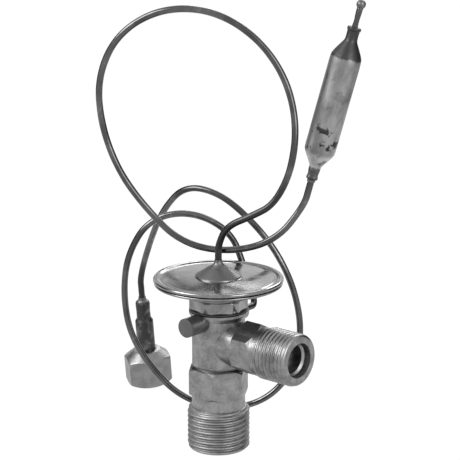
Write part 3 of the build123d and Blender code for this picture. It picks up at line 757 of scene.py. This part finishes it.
@dataclass(frozen=True)
class PlainMetal:
    """A plain satin metal with fine grain, for nuts, brazes and inner pieces."""

    name: str
    light: float
    roughness: float
    grain: float = 0.5
    depth: float = 0.02

    def material(self) -> Material:
        """Build the material.

        Returns:
            The material.
        """
        shader = Shader(self.name)
        here = shader.where()
        cloud = shader.noise(here, 3.0, 4.0, 0.6, 0.5)
        fine = shader.noise(here, self.grain, 3.0, 0.6)
        tone = shader.blend(shader.spread(cloud, 0.33, 0.7), self.light, self.light * 0.75)
        shine = shader.spread(fine, 0.3, 0.7, self.roughness - 0.06, self.roughness + 0.1)
        return shader.surface(tone, shine, shader.bump(fine, self.depth, 0.5))


@dataclass(frozen=True)
class SealRubber:
    """Black rubber of the seal ring, with a faint oily sheen."""

    name: str = "black_seal_rubber"

    def material(self) -> Material:
        """Build the material.

        Returns:
            The material.
        """
        shader = Shader(self.name)
        fine = shader.noise(shader.where(), 0.5, 3.0, 0.6)
        tone = shader.blend(fine, 0.006, 0.02)
        shine = shader.spread(fine, 0.3, 0.7, 0.35, 0.55)
        return shader.surface(tone, shine, shader.bump(fine, 0.01, 0.4), metallic=0.0)


@dataclass(frozen=True)
class Thread:
    """A male thread: r(a, h) = min(root + depth * ridge(h / pitch - a / turn), envelope(h))."""

    station: Station
    start: float
    stop: float
    crest: float
    pitch: float
    depth: float
    envelope: tuple[tuple[float, float], ...]
    core: float
    root_share: float = 0.04
    flank_share: float = 0.90

    def ridge(self, phase: Array) -> Array:
        """Height of the ridge over one pitch, 0 in the root and 1 on the crest.

        A triangle 1 - |2p - 1| with its root and crest rounded by 3x^2 - 2x^3.

        Args:
            phase: Where on the thread, in pitches.

        Returns:
            The heights.
        """
        part = np.mod(phase, 1.0)
        slope = np.clip((1 - np.abs(2 * part - 1) - self.root_share) / self.flank_share, 0, 1)
        return slope * slope * (3 - 2 * slope)

    def patch(self, slot: int, segments: int = 120, rows_per_pitch: int = 14) -> Patch:
        """The threaded sleeve, closed by a plain wall inside the metal.

        Args:
            slot: The material slot of the faces.
            segments: Points on each ring.
            rows_per_pitch: Rings over one pitch.

        Returns:
            The closed patch.
        """
        rows = int((self.stop - self.start) / self.pitch * rows_per_pitch)
        height = np.linspace(self.start, self.stop, rows)[:, None]
        angle = circle(segments)
        limit = np.interp(height[:, 0], *zip(*self.envelope))[:, None]
        outer = self.crest - self.depth * (1 - self.ridge(height / self.pitch - angle / TURN))
        outer = np.minimum(outer, limit)
        sleeve = self.station.place(outer, angle, height)
        ends = np.array([[self.stop], [self.start]])
        wall = self.station.place(np.full((2, 1), self.core), angle, ends)
        return skin(np.vstack([sleeve, wall]), Ends.JOINED, slot)


@dataclass
class ForgedBody:
    """The body: its own solid drawn in under the two threads, which lie on it as sleeves."""

    outlet_top: float = 13.2
    outlet_core: float = 8.05
    outlet_crest: float = 9.45
    port_start: float = 19.4
    port_end: float = 31.3
    port_core: float = 6.9
    port_crest: float = 7.9
    reach: float = 9.6
    crease: float = 28.0

    def outlet_thread(self) -> Thread:
        """The outlet's thread, sixteen to the inch.

        Returns:
            The thread.
        """
        top, crest = self.outlet_top, self.outlet_crest
        envelope = ((0.0, 8.8), (0.8, crest), (12.4, crest), (top, 8.1))
        return Thread(MAIN_AXIS, 0.0, top, crest, INCH / 16, 0.78, envelope, self.outlet_core)

    def inlet_thread(self) -> Thread:
        """The inlet's thread, eighteen to the inch, with a rounded lip.

        Returns:
            The thread.
        """
        start, end, crest = self.port_start, self.port_end, self.port_crest
        envelope = ((start, 7.25), (20.0, crest), (30.1, crest), (30.8, 7.7), (31.1, 7.45), (end, 7.05))
        return Thread(PORT_AXIS, start, end, crest, INCH / 18, 0.32, envelope, self.port_core)

    def core(self) -> Patch:
        """The body's own solid with the skin under the threads drawn in.

        A point in a thread's stretch moves to r = min(r, core), along its own radius.

        Returns:
            The patch.
        """
        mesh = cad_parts["valve_body"].data
        points = read_array(mesh.vertices, "co", 3) / MM
        mesh.calc_loop_triangles()
        corners = read_array(mesh.loop_triangles, "vertices", 3, np.int32)
        _, first, same = np.unique(points.round(4), axis=0, return_index=True, return_inverse=True)
        points, triangles = points[first], same.ravel()[corners]
        triangles = triangles[(triangles != np.roll(triangles, 1, axis=1)).all(axis=1)]
        for height, across, centre, low, high, core in (
            (2, (0, 1), (0.0, 0.0), -1.0, self.outlet_top - 0.01, self.outlet_core),
            (0, (1, 2), (0.0, PORT_HEIGHT), self.port_start + 0.01, self.port_end + 1.0, self.port_core),
        ):
            out = points[:, across] - centre
            radius = np.hypot(*out.T)
            zone = (points[:, height] > low) & (points[:, height] < high) & (radius > core)
            zone &= radius < self.reach
            points[np.ix_(zone, across)] = centre + out[zone] * (core / radius[zone])[:, None]
        return Patch(points, triangles=triangles)

    def build(self, forged: Material, outlet: Material, inlet: Material) -> Piece:
        """Make the body with its threads.

        Args:
            forged: Finish of the forging.
            outlet: Finish of the outlet's thread.
            inlet: Finish of the inlet's thread.

        Returns:
            The object.
        """
        patches = [self.core(), self.outlet_thread().patch(1), self.inlet_thread().patch(2)]
        body = make_object("forged_body", patches, [forged, outlet, inlet])
        mesh = body.data
        sharp = mesh.attributes.get("sharp_edge") or mesh.attributes.new("sharp_edge", "BOOLEAN", "EDGE")
        ends = read_array(mesh.edges, "vertices", 2, np.int32)
        sharp.data.foreach_set("value", self.creased(mesh, ends, len(patches[0].points)))
        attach(body, "valve")
        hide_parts("valve_body")
        return body

    def creased(self, mesh: bpy.types.Mesh, ends: Array, core_points: int) -> Array:
        """Find the edges of the core whose two faces meet at more than the crease's angle.

        The cosine of the angle is n0 . n1.

        Args:
            mesh: The body's mesh.
            ends: The two vertices of each edge.
            core_points: How many of the first vertices belong to the core.

        Returns:
            True for each sharp edge.
        """
        normals = read_array(mesh.polygons, "normal", 3)
        edge_of_loop = read_array(mesh.loops, "edge_index", kind=np.int32)
        totals = read_array(mesh.polygons, "loop_total", kind=np.int32)
        face_of_loop = np.repeat(np.arange(len(totals)), totals)
        order = np.argsort(edge_of_loop, kind="stable")
        edges, first, count = np.unique(edge_of_loop[order], return_index=True, return_counts=True)
        pair = count == 2
        faces = face_of_loop[order]
        cosine = np.ones(len(ends))
        one, other = normals[faces[first[pair]]], normals[faces[first[pair] + 1]]
        cosine[edges[pair]] = np.einsum("ij,ij->i", one, other)
        return (cosine < math.cos(math.radians(self.crease))) & (ends < core_points).all(axis=1)


@dataclass
class PressedHead:
    """The head: rolled upper cover, lower cover with its hub, seal ring and stem braze."""

    rim: float = 19.6
    rim_height: float = 52.35
    line_radius: float = 17.0
    dish_top: float = 53.75
    cone_base: float = 7.0
    cone_top: tuple[float, float] = (2.95, 56.75)
    stem: float = 1.05
    hub_flats: float = 16.3
    hub_turn: float = -13.0
    seal_bore: float = 7.65
    seal_radius: float = 8.86
    seal_top: float = 44.3
    segments: int = 192
    braze_height: float = 2.1
    braze_curve: float = 2.6

    def upper_cover(self, plated: Material) -> Piece:
        """The upper cover: rim bead, ring line, shallow dish, step and cone.

        Args:
            plated: Its finish.

        Returns:
            The object.
        """
        z, r = self.rim_height + 0.2, self.rim
        line, base, top = self.line_radius, self.cone_base, self.dish_top
        corners = [
            (r - 0.35, z), (r, z + 0.12), (r, z + 0.75), (r - 0.4, z + 1.08), (r - 1.2, z + 1.08),
            (r - 1.9, z + 0.74), (line + 0.25, z + 0.64), (line, z + 0.80), (line - 0.35, z + 0.72),
            (12.0, z + 0.98), (base + 0.35, top), (base, top + 0.05), (base - 0.05, top + 0.42),
            self.cone_top, (self.stem, self.cone_top[1]), (self.stem, self.cone_top[1] - 1.1),
            (6.2, z + 0.5), (line, z),
        ]
        soften = [0.2, 0.4, 0.4, 0.4, 0.5, 0.4, 0.15, 0.15, 0.15, 3.0, 0.25, 0.15, 0.2, 0.25, 0.05, 0.05,
                  0.3, 0.3]
        patch = turned(soft_profile(corners, soften), MAIN_AXIS, self.segments)
        cover = make_object("upper_cover_pressing", [patch], [plated])
        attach(cover, "valve")
        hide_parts("upper_cover")
        return cover

    def lower_cover(self, plated: Material) -> Piece:
        """The lower cover, its step, and the hub with worn wrench flats.

        On the hub r(a) = min(r, flats / (2 cos b)), with b the angle to the nearest flat.

        Args:
            plated: Its finish.

        Returns:
            The object.
        """
        z, r = self.rim_height, self.rim
        corners = [
            (6.55, 44.4), (8.2, 44.4), (8.6, 44.12), (8.85, 44.3), (8.85, 47.2), (8.6, 47.45), (9.0, 47.75),
            (9.2, 47.95), (9.2, 48.45), (12.5, 49.25), (r - 2.4, z - 1.2), (r - 0.8, z - 1.02),
            (r - 0.25, z - 0.7), (r - 0.25, z - 0.2), (r - 0.75, z), (r - 2.9, z), (9.3, 49.5), (6.55, 49.4),
        ]
        soften = [0.05, 0.1, 0.2, 0.15, 0.25, 0.15, 0.15, 0.2, 0.15, 1.5, 0.8, 0.3, 0.25, 0.2, 0.1, 0.3,
                  0.5, 0.05]
        outline = soft_profile(corners, soften)
        angle = circle(self.segments)
        to_flat = np.mod(angle - math.radians(self.hub_turn), TURN / 6) - TURN / 12
        flat = self.hub_flats / 2 / np.cos(to_flat)
        radius = np.broadcast_to(outline[:, :1], (len(outline), len(angle))).copy()
        on_hub = (outline[:, 1] < 47.5) & (outline[:, 0] > 7)
        radius[on_hub] = np.minimum(radius[on_hub], flat)
        rings = MAIN_AXIS.place(radius, angle, outline[:, 1:])
        cover = make_object("lower_cover_pressing", [skin(rings, Ends.JOINED)], [plated])
        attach(cover, "valve")
        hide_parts("lower_cover")
        return cover

    def seal(self, rubber: Material) -> Piece:
        """The seal ring, bulged where it is squeezed.

        Args:
            rubber: Its finish.

        Returns:
            The object.
        """
        bore, outer, top = self.seal_bore, self.seal_radius, self.seal_top
        corners = [(bore, 43.4), (8.5, 43.36), (outer, 43.55), (outer, 43.95), (8.4, top), (bore, top)]
        patch = turned(soft_profile(corners, 0.3), MAIN_AXIS, 160)
        ring = make_object("squeezed_seal_ring", [patch], [rubber])
        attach(ring, "valve")
        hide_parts("head_seal")
        return ring

    def stem_braze(self, braze: Material) -> Piece:
        """The hollow cone of braze round the stem: r = a + (b - a)(1 - x)^c, with small lumps.

        Args:
            braze: Its finish.

        Returns:
            The object.
        """
        share = np.linspace(0, 1, 24)
        angle = circle(96)
        foot, top = self.cone_top[0] - 0.1, self.stem + 0.12
        radius = top + (foot - top) * (1 - share) ** self.braze_curve
        lumps = 1 + 0.04 * np.sin(3 * angle + 1.0) + 0.03 * np.sin(7 * angle)
        height = (self.cone_top[1] + self.braze_height * share)[:, None]
        outer = MAIN_AXIS.place(self.stem + (radius[:, None] - self.stem) * lumps, angle, height)
        wall = MAIN_AXIS.place(np.full((2, 1), self.stem + 0.02), angle, height[[-1, 0]])
        cone = make_object("stem_braze_cone", [skin(np.vstack([outer, wall]), Ends.JOINED)], [braze])
        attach(cone, "valve")
        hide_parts("capillary_braze")
        return cone


@dataclass
class BentLine:
    """A bent metal tube on the smooth line of its route's points, in mm.

    The torch darkened it from one of its ends, and its mesh holds the distance from there.
    """

    name: str
    node: str
    route: list[tuple[float, float, float]]
    radius: float = 1.05
    wander: float = 0.02
    waves: tuple[float, float] = (0.45, 0.173)
    samples: int = 520
    segments: int = 28
    torch_end: TorchEnd = TorchEnd.FIRST

    def build(self, finish: Material) -> Piece:
        """Carry a circle along the route's B-spline, which starts and ends on a straight lead.

        The radius wanders as r (1 - w + w sin(p s) sin(q s)), with s along the tube and waves p, q.

        Args:
            finish: Its finish.

        Returns:
            The object.
        """
        points = np.array(self.route, float)
        leads = (points[:1] + points[1:2]) / 2, (points[-2:-1] + points[-1:]) / 2
        path = spline(np.vstack([points[:1], leads[0], points[1:-1], leads[1], points[-1:]]), self.samples)
        along = np.concatenate([[0], np.cumsum(np.linalg.norm(np.diff(path, axis=0), axis=1))])
        wave = np.sin(along * self.waves[0]) * np.sin(along * self.waves[1])
        radius = self.radius * (1 - self.wander + self.wander * wave)
        patch = carried(path, radius, self.segments)
        tube = make_object(self.name, [patch], [finish])
        from_torch = along if self.torch_end is TorchEnd.FIRST else along[-1] - along
        distance = np.concatenate([np.repeat(from_torch, self.segments), from_torch[[0, -1]]]) * MM
        tube.data.attributes.new("along", "FLOAT", "POINT").data.foreach_set("value", distance)
        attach(tube, "valve")
        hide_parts(self.node)
        log.info("%s is %.1f mm long", self.name, along[-1])
        return tube


@dataclass
class SensingBulb:
    """The bulb with its two swaged ends, and the sealed charge tube on top."""

    radius: float = 4.7
    shoulder: float = 8.8
    body_top: float = 37.7
    neck_top: float = 42.5
    lip: float = 45.7
    end: float = 46.6
    segments: int = 112
    dent: float = 0.006
    charge_radius: float = 0.95
    charge_waist: float = 0.16
    charge_rise: float = 5.8
    drop_radius: float = 1.4
    drop_height: float = 2.4

    def body(self, copper: Material) -> Piece:
        """The bulb: r(a, h) = outline (1 - d + d sin(2a + 0.7) cos(0.21 h)), with shallow dents d.

        Args:
            copper: Its finish.

        Returns:
            The object.
        """
        corners = [
            (1.08, 0.0), (1.7, 0.0), (1.8, 0.5), (1.6, 1.0), (1.62, 1.9), (1.78, 2.6), (1.75, 4.0),
            (2.35, 4.9), (3.95, 7.3), (4.62, 8.6), (self.radius, 10.2), (self.radius, self.body_top - 1.4),
            (4.6, self.body_top + 0.1), (3.8, self.body_top + 1.7), (2.45, self.neck_top - 0.9),
            (1.9, self.neck_top), (1.8, self.neck_top + 1.5), (1.88, self.lip - 0.2), (2.1, self.lip),
            (2.08, self.end - 0.1), (1.8, self.end), (0.98, self.end), (0.98, self.neck_top),
            (3.9, self.body_top), (3.9, self.shoulder), (1.08, 4.0),
        ]
        soften = [0.05, 0.15, 0.3, 0.3, 0.4, 0.4, 0.8, 0.9, 1.2, 0.8, 1.0, 1.4, 1.0, 1.0, 1.0, 0.8, 0.8,
                  0.2, 0.15, 0.2, 0.2, 0.05, 0.05, 0.3, 0.3, 0.05]
        outline = soft_profile(corners, soften, steps=8)
        angle = circle(self.segments)
        dent = 1 - self.dent + self.dent * np.sin(2 * angle + 0.7) * np.cos(outline[:, 1:] * 0.21)
        rings = BULB_AXIS.place(outline[:, :1] * dent, angle, outline[:, 1:])
        bulb = make_object("swaged_bulb", [skin(rings, Ends.JOINED)], [copper])
        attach(bulb, "valve")
        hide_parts("sensing_bulb")
        return bulb

    def charge_tube(self, tube_finish: Material) -> Piece:
        """The charge tube, slightly kinked above the bulb's lip: r = R - w sin^2, from end to end.

        Args:
            tube_finish: Its finish.

        Returns:
            The object.
        """
        first, second, _ = BULB_AXIS.axes()
        lip, end = self.lip, self.end
        heights = np.array([lip, lip + 1.2, end + 1.8, end + 3.6, end + self.charge_rise])
        sway = np.array([0.0, 0.0, 0.12, -0.12, 0.0])
        line = BULB_AXIS.place(np.zeros(5), np.zeros(5), heights) + sway[:, None] * (first - second)
        path = spline(line, 40)
        radius = self.charge_radius - self.charge_waist * np.sin(np.linspace(0, math.pi, len(path))) ** 2
        tube = make_object("kinked_charge_tube", [carried(path, radius, 24)], [tube_finish])
        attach(tube, "valve")
        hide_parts("charge_tube")
        return tube

    def solder_drop(self, braze: Material) -> Piece:
        """The drop of solder that closes the tube: r = R sin u, h = R cos u, stretched to its height.

        Args:
            braze: Its finish.

        Returns:
            The object.
        """
        lean = np.linspace(0.03, math.pi - 0.78, 26)[::-1]
        outline = self.drop_radius * np.column_stack([np.sin(lean), np.cos(lean)])
        rise = (outline[:, 1] - outline[:, 1].min()) / np.ptp(outline[:, 1])
        outline[:, 1] = self.end + self.charge_rise + rise * self.drop_height
        drop = make_object("solder_drop", [turned(outline, BULB_AXIS, 48, Ends.CAPPED)], [braze])
        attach(drop, "valve")
        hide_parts("charge_seal")
        return drop


@dataclass
class FlareFitting:
    """The equaliser's end: the reducer sleeve and the long flare nut."""

    flats: float = 14.29
    turn: float = 28.0
    length: float = 11.35
    shoulder: float = 8.3
    top_radius: float = 4.4
    thread: float = 4.95
    thread_depth: float = 0.45
    thread_top: float = 5.0
    thread_foot: float = 0.6
    mouth: float = 5.55
    segments: int = 288
    softness: float = 0.10
    crease: float = 38.0
    sleeve_foot: float = 21.6
    sleeve_top: float = 28.9

    def hex_radius(self, angle: Array, sharpness: float = 26.0) -> Array:
        """Radius of the rounded hexagon.

        r(a) = (sum over k of (cos(a - a_k) / apothem)^n)^(-1/n), for the flats k that face a.

        Args:
            angle: The angles, in radians.
            sharpness: The power n.

        Returns:
            The radii, in mm.
        """
        flat = math.radians(self.turn) + TURN / 12 + np.arange(6) * TURN / 6
        facing = np.clip(np.cos(angle[:, None] - flat[None, :]), 0, None) / (self.flats / 2)
        return ((facing / facing.max()) ** sharpness).sum(axis=1) ** (-1 / sharpness) / facing.max()

    def nut(self, satin: Material) -> Piece:
        """The nut: r(a, h) = soft minimum of hexagon(a) and cone(h), and its threaded bore.

        Args:
            satin: Its finish.

        Returns:
            The object.
        """
        angle = circle(self.segments)
        hexagon = self.hex_radius(angle)[None, :]
        height = np.concatenate([
            np.linspace(0, 1.0, 14), np.linspace(1.2, self.shoulder - 0.6, 12),
            np.linspace(self.shoulder - 0.4, self.length, 44),
        ])[:, None]
        corner = self.flats / math.sqrt(3) + 0.1
        bevels = [self.flats / 2 - 0.1, corner, corner, self.top_radius]
        cone = np.interp(height, [0, 0.8, self.shoulder, self.length], bevels)
        outer = -self.softness * np.logaddexp(-hexagon / self.softness, -cone / self.softness)
        outside = FITTING_AXIS.place(outer, angle, height)
        bore_height = np.linspace(self.thread_top, self.thread_foot, 48)[:, None]
        ridge = 0.5 + 0.5 * np.cos(TURN * (bore_height / (INCH / 20) - angle / TURN))
        threads = FITTING_AXIS.place(self.thread + self.thread_depth * (1 - ridge), angle, bore_height)
        steps = [(3.08, self.length), (3.08, 7.39), (4.68, 5.79), (4.68, 5.6), (5.25, 5.6), (5.25, 5.02)]
        seat = FITTING_AXIS.place(np.array(steps)[:, :1], angle, np.array(steps)[:, 1:])
        mouth = FITTING_AXIS.place(np.array([[self.mouth]]), angle, np.array([[0.0]]))
        patch = skin(np.vstack([outside, seat, threads, mouth]), Ends.JOINED)
        nut = make_object("long_flare_nut", [patch], [satin])
        nut.data.set_sharp_from_angle(angle=math.radians(self.crease))
        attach(nut, "flare_nut")
        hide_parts("flare_nut")
        return nut

    def sleeve(self, black: Material) -> Piece:
        """The reducer sleeve with its bright foot edge and rounded top.

        Args:
            black: Its finish.

        Returns:
            The object.
        """
        foot, top = self.sleeve_foot, self.sleeve_top
        corners = [
            (0.7, foot - 3.0), (2.2, foot - 3.0), (2.2, foot), (3.02, foot), (3.0, foot + 0.25),
            (2.35, foot + 1.3), (2.3, foot + 3.5), (2.4, top - 1.0), (2.25, top - 0.1), (1.08, top),
            (1.08, top - 2.0), (0.7, top - 2.0),
        ]
        patch = turned(soft_profile(corners, 0.35), FITTING_AXIS, 96)
        sleeve = make_object("reducer_sleeve", [patch], [black])
        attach(sleeve, "valve")
        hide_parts("reducer")
        return sleeve


@dataclass(frozen=True)
class Studio:
    """Camera, floor, surround, dark flags and soft boxes, seen as in the photo's 460-pixel frame."""

    frame_pixels: float = 460.0
    focal_pixels: float = 1805.0
    foot_pixel: tuple[float, float] = (218.67, 444.9)
    foot_distance: float = 553.2
    azimuth: float = 41.0
    pitch: float = 14.4
    sensor: float = 36.0
    world_level: float = 0.45
    floor_half: float = 4.0
    floor_drop: float = 0.0002
    floor_share: float = 0.93
    floor_glow: float = 1.03
    flag_tone: float = 0.05
    lamp_aim: float = 0.06

    def camera(self) -> Piece:
        """Place the camera so that the outlet's centre lies on its pixel.

        position = foot + distance * back - x * right - y * up

        Returns:
            The camera.
        """
        turn, dip = math.radians(self.azimuth), math.radians(self.pitch)
        right = Vector((math.cos(turn), math.sin(turn), 0))
        back = Vector((math.sin(turn) * math.cos(dip), -math.cos(turn) * math.cos(dip), math.sin(dip)))
        up = back.cross(right)
        centre = self.frame_pixels / 2
        across = (self.foot_pixel[0] - centre) / self.focal_pixels * self.foot_distance
        above = (centre - self.foot_pixel[1]) / self.focal_pixels * self.foot_distance
        data = bpy.data.cameras.new("photo_camera")
        data.sensor_width = self.sensor
        data.lens = self.focal_pixels / self.frame_pixels * self.sensor
        data.clip_start, data.clip_end = 0.05, 30.0
        camera = add_object("photo_camera", data)
        place = (back * self.foot_distance - right * across - up * above) * MM
        camera.matrix_world = Matrix.Translation(place) @ Matrix((right, up, back)).transposed().to_4x4()
        bpy.context.scene.camera = camera
        return camera

    def lamp(self, name: str, place: tuple[float, float, float], size: tuple[float, float],
             power: float) -> Piece:
        """A soft box that looks at the valve's middle.

        Args:
            name: The lamp's name.
            place: Where it stands, in metres.
            size: Its width and height, in metres.
            power: Its power, in watts.

        Returns:
            The lamp.
        """
        data = bpy.data.lights.new(name, "AREA")
        data.shape = "RECTANGLE"
        data.size, data.size_y = size
        data.energy = power
        lamp = add_object(name, data)
        away = Vector(place) - Vector((0.0, 0.0, self.lamp_aim))
        turn = away.to_track_quat("Z", "Y").to_matrix().to_4x4()
        lamp.matrix_world = Matrix.Translation(Vector(place)) @ turn
        return lamp

    @staticmethod
    def seen_directly(tree: bpy.types.NodeTree) -> Socket:
        """A switch: 1 for camera, glossy and transmission rays, and 0 for the rest.

        Args:
            tree: The node tree that it is for.

        Returns:
            The switch's socket.
        """
        path = tree.nodes.new("ShaderNodeLightPath")
        total = path.outputs["Is Camera Ray"]
        for name in ("Is Glossy Ray", "Is Transmission Ray"):
            step = tree.nodes.new("ShaderNodeMath")
            step.operation = "MAXIMUM"
            tree.links.new(total, step.inputs[0])
            tree.links.new(path.outputs[name], step.inputs[1])
            total = step.outputs[0]
        return total

    def world(self) -> None:
        """A white surround that lights the object at a plain level."""
        world = bpy.data.worlds.new("white_surround")
        bpy.context.scene.world = world
        world.use_nodes = True
        tree = world.node_tree
        back = tree.nodes["Background"]
        back.inputs["Color"].default_value = (1, 1, 1, 1)
        mix = tree.nodes.new("ShaderNodeMix")
        mix.inputs[2].default_value = self.world_level
        mix.inputs[3].default_value = 1.0
        tree.links.new(self.seen_directly(tree), mix.inputs[0])
        tree.links.new(mix.outputs[0], back.inputs["Strength"])

    def floor(self) -> Piece:
        """A pale floor that keeps a faint shadow.

        Returns:
            The floor.
        """
        half = self.floor_half
        mesh = bpy.data.meshes.new("pale_floor")
        corners = np.array([(-half, -half, 0), (half, -half, 0), (half, half, 0), (-half, half, 0)], float)
        mesh.from_pydata((corners - (0, 0, self.floor_drop)).tolist(), [], [(0, 1, 2, 3)])
        floor = add_object("pale_floor", mesh)
        shader = Shader("pale_floor")
        matt = shader.node("BsdfDiffuse", {"Color": (0.9, 0.9, 0.9, 1)})
        glow = shader.node("Emission", {"Color": (1, 1, 1, 1), "Strength": self.floor_glow})
        seen = self.seen_directly(shader.tree)
        share = shader.times(seen, self.floor_share)
        mix = shader.node("MixShader", {0: share, 1: matt.outputs[0], 2: glow.outputs[0]})
        shader.tree.links.new(mix.outputs[0], shader.output.inputs[0])
        mesh.materials.append(shader.material)
        return floor

    def flag(self, name: str, sideways: float, behind: float, width: float, height: float) -> Piece:
        """A dark panel beside the view, which only polished metal shows.

        Args:
            name: The panel's name.
            sideways: How far its middle is to the right of the view, in metres.
            behind: How far it is behind the valve, in metres.
            width: Its width, in metres.
            height: Its height above the floor, in metres.

        Returns:
            The panel.
        """
        turn = math.radians(self.azimuth)
        right, ahead = np.array([math.cos(turn), math.sin(turn)]), np.array([-math.sin(turn), math.cos(turn)])
        middle = right * sideways + ahead * behind
        facing = np.array([-middle[1], middle[0]]) / np.linalg.norm(middle)
        ends = [middle - facing * width / 2, middle + facing * width / 2]
        corners = [(*ends[0], 0.0), (*ends[1], 0.0), (*ends[1], height), (*ends[0], height)]
        mesh = bpy.data.meshes.new(name)
        mesh.from_pydata(corners, [], [(0, 1, 2, 3)])
        panel = add_object(name, mesh)
        shader = Shader(name)
        glow = shader.node("Emission", {"Color": shader.grey(self.flag_tone), "Strength": 1.0})
        shader.tree.links.new(glow.outputs[0], shader.output.inputs[0])
        mesh.materials.append(shader.material)
        panel.visible_camera = False
        panel.visible_diffuse = False
        panel.visible_shadow = False
        return panel

    def build(self) -> None:
        """Set up the view and the light."""
        self.camera()
        self.flag("left_dark_flag", -0.46, 0.26, 0.42, 0.42)
        self.flag("right_dark_flag", 0.42, 0.24, 0.42, 0.34)
        self.world()
        self.floor()
        self.lamp("left_soft_box", (-0.45, -0.75, 0.75), (0.7, 0.7), 12.0)
        self.lamp("right_soft_box", (0.85, -0.15, 0.45), (0.4, 0.7), 4.0)
        self.lamp("back_soft_box", (-0.35, 0.8, 0.65), (0.6, 0.4), 4.0)
        bpy.context.scene.view_settings.view_transform = "Standard"


# The tubes' lines follow these points, chosen against the photo, in mm.
CAPILLARY_ROUTE = [
    (0, 0, 56), (0, 0, 63.5), (3.2, 0.1, 69.7), (10.7, 3.1, 73.5), (16.6, 6.1, 77.4), (20.4, 9.4, 88),
    (20.2, 11.6, 102), (15.6, 11.1, 115.5), (6.8, 7.4, 126.7), (-4, 0.5, 133.4), (-16.5, -7.5, 133.1),
    (-27.7, -13.6, 125.2), (-34, -15.5, 112), (-34.6, -13.8, 97.5), (-30.5, -11, 83.5), (-24.2, -5.7, 71.8),
    (-13.6, -2, 62.3), (-0.5, 4.5, 60), (11.1, 13.2, 63.8), (18, 18.2, 75), (20.27, 20.19, 86.56),
]
EQUALISER_ROUTE = [
    (0, 8.2, 40.9), (0, 17.8, 40.9), (-7.9, 21.2, 50.3), (-11.6, 19.4, 61.8), (-21.9, 12.4, 68.1),
    (-33.1, 5, 65.1), (-39.1, 1.2, 53.2), (-40.7, 0.8, 40), (-39.8, 2.7, 26.5), (-34.5, 7, 15),
    (-27.5, 13, 5.5),
    (-17, 21, 1.5), (-6.5, 29.5, 4.4), (0.8, 34.8, 14.6), (4, 35.2, 28), (2.5, 34, 41), (-1.5, 30.5, 53.5),
    (-9.3, 27.7, 63.2), (-20.5, 24, 72), (-32.7, 21, 73), (-41.7, 20.4, 63.7), (-48.1, 21.4, 52.8),
    (-54.93, 23.31, 38.63), (-55.3, 24.79, 27.74),
]


@dataclass
class InnerPieces:
    """The pieces that keep their own solids, by the finish that each one takes."""

    steel: tuple[str, ...] = (
        "seat_insert", "valve_ball", "ball_carrier", "superheat_spring", "spring_seat", "push_rod",
        "buffer_plate", "diaphragm", "strainer_ring",
    )
    mesh_steel: tuple[str, ...] = ("inlet_strainer",)
    brass: tuple[str, ...] = ("adjusting_nut", "seal_gland")
    rubber: tuple[str, ...] = ("rod_seal",)
    braze: tuple[str, ...] = ("bulb_braze", "equaliser_braze", "reducer_braze")
    blackened: tuple[str, ...] = ("stub_tube",)

    def dress(self, finishes: dict[str, Material]) -> None:
        """Give each node its material.

        Args:
            finishes: Materials by this class's field names.
        """
        for group, finish in finishes.items():
            for name in getattr(self, group):
                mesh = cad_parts[name].data
                mesh.materials.clear()
                mesh.materials.append(finish)
                log.info("dressed %s", name)


def main() -> None:
    """Build the studio and every sub-assembly in order."""
    logging.basicConfig(level=logging.INFO, format="%(message)s")
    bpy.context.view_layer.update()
    Studio().build()

    forged = ForgedBrass().material()
    outlet_turned = TurnedBrass("turned_outlet_metal", MAIN_AXIS, 0.28, 0.18, 0.42).material()
    inlet_turned = TurnedBrass("turned_inlet_metal", PORT_AXIS, 0.26, 0.14, 0.30).material()
    plated = PlatedSteel().material()
    braze = PlainMetal("grey_braze_metal", 0.16, 0.38, 0.9, 0.05).material()
    steel = PlainMetal("plain_inner_steel", 0.45, 0.28).material()
    dark_steel = PlainMetal("dark_strainer_steel", 0.10, 0.45).material()
    inner_brass = PlainMetal("inner_turned_brass", 0.40, 0.32).material()
    satin = PlainMetal("satin_nut_metal", 0.25, 0.36, 0.3, 0.03).material()
    tube_metal = DrawnTube("dark_drawn_tube").material()
    stem_tube = DrawnTube("heat_darkened_stem", heated=34.0).material()
    end_tube = DrawnTube("heat_darkened_end", heated=12.0).material()
    bulb_metal = TarnishedCopper("tarnished_bulb_copper", BULB_AXIS).material()
    black = HeatBlackened().material()
    rubber = SealRubber().material()

    pieces = [ForgedBody().build(forged, outlet_turned, inlet_turned)]
    head = PressedHead()
    pieces += [head.upper_cover(plated), head.lower_cover(plated), head.seal(rubber), head.stem_braze(braze)]
    pieces.append(BentLine("bulb_capillary_line", "capillary_tube", CAPILLARY_ROUTE).build(stem_tube))
    equaliser = BentLine("equaliser_line", "equaliser_tube", EQUALISER_ROUTE, torch_end=TorchEnd.LAST)
    pieces.append(equaliser.build(end_tube))
    bulb = SensingBulb()
    pieces += [bulb.body(bulb_metal), bulb.charge_tube(tube_metal), bulb.solder_drop(braze)]
    fitting = FlareFitting()
    pieces += [fitting.nut(satin), fitting.sleeve(black)]
    InnerPieces().dress({
        "steel": steel, "mesh_steel": dark_steel, "brass": inner_brass, "rubber": rubber, "braze": braze,
        "blackened": black,
    })
    for piece in pieces:
        log.info("made %s: %d faces", piece.name, len(piece.data.polygons))
    bpy.context.view_layer.update()


if __name__ == "__main__":
    main()
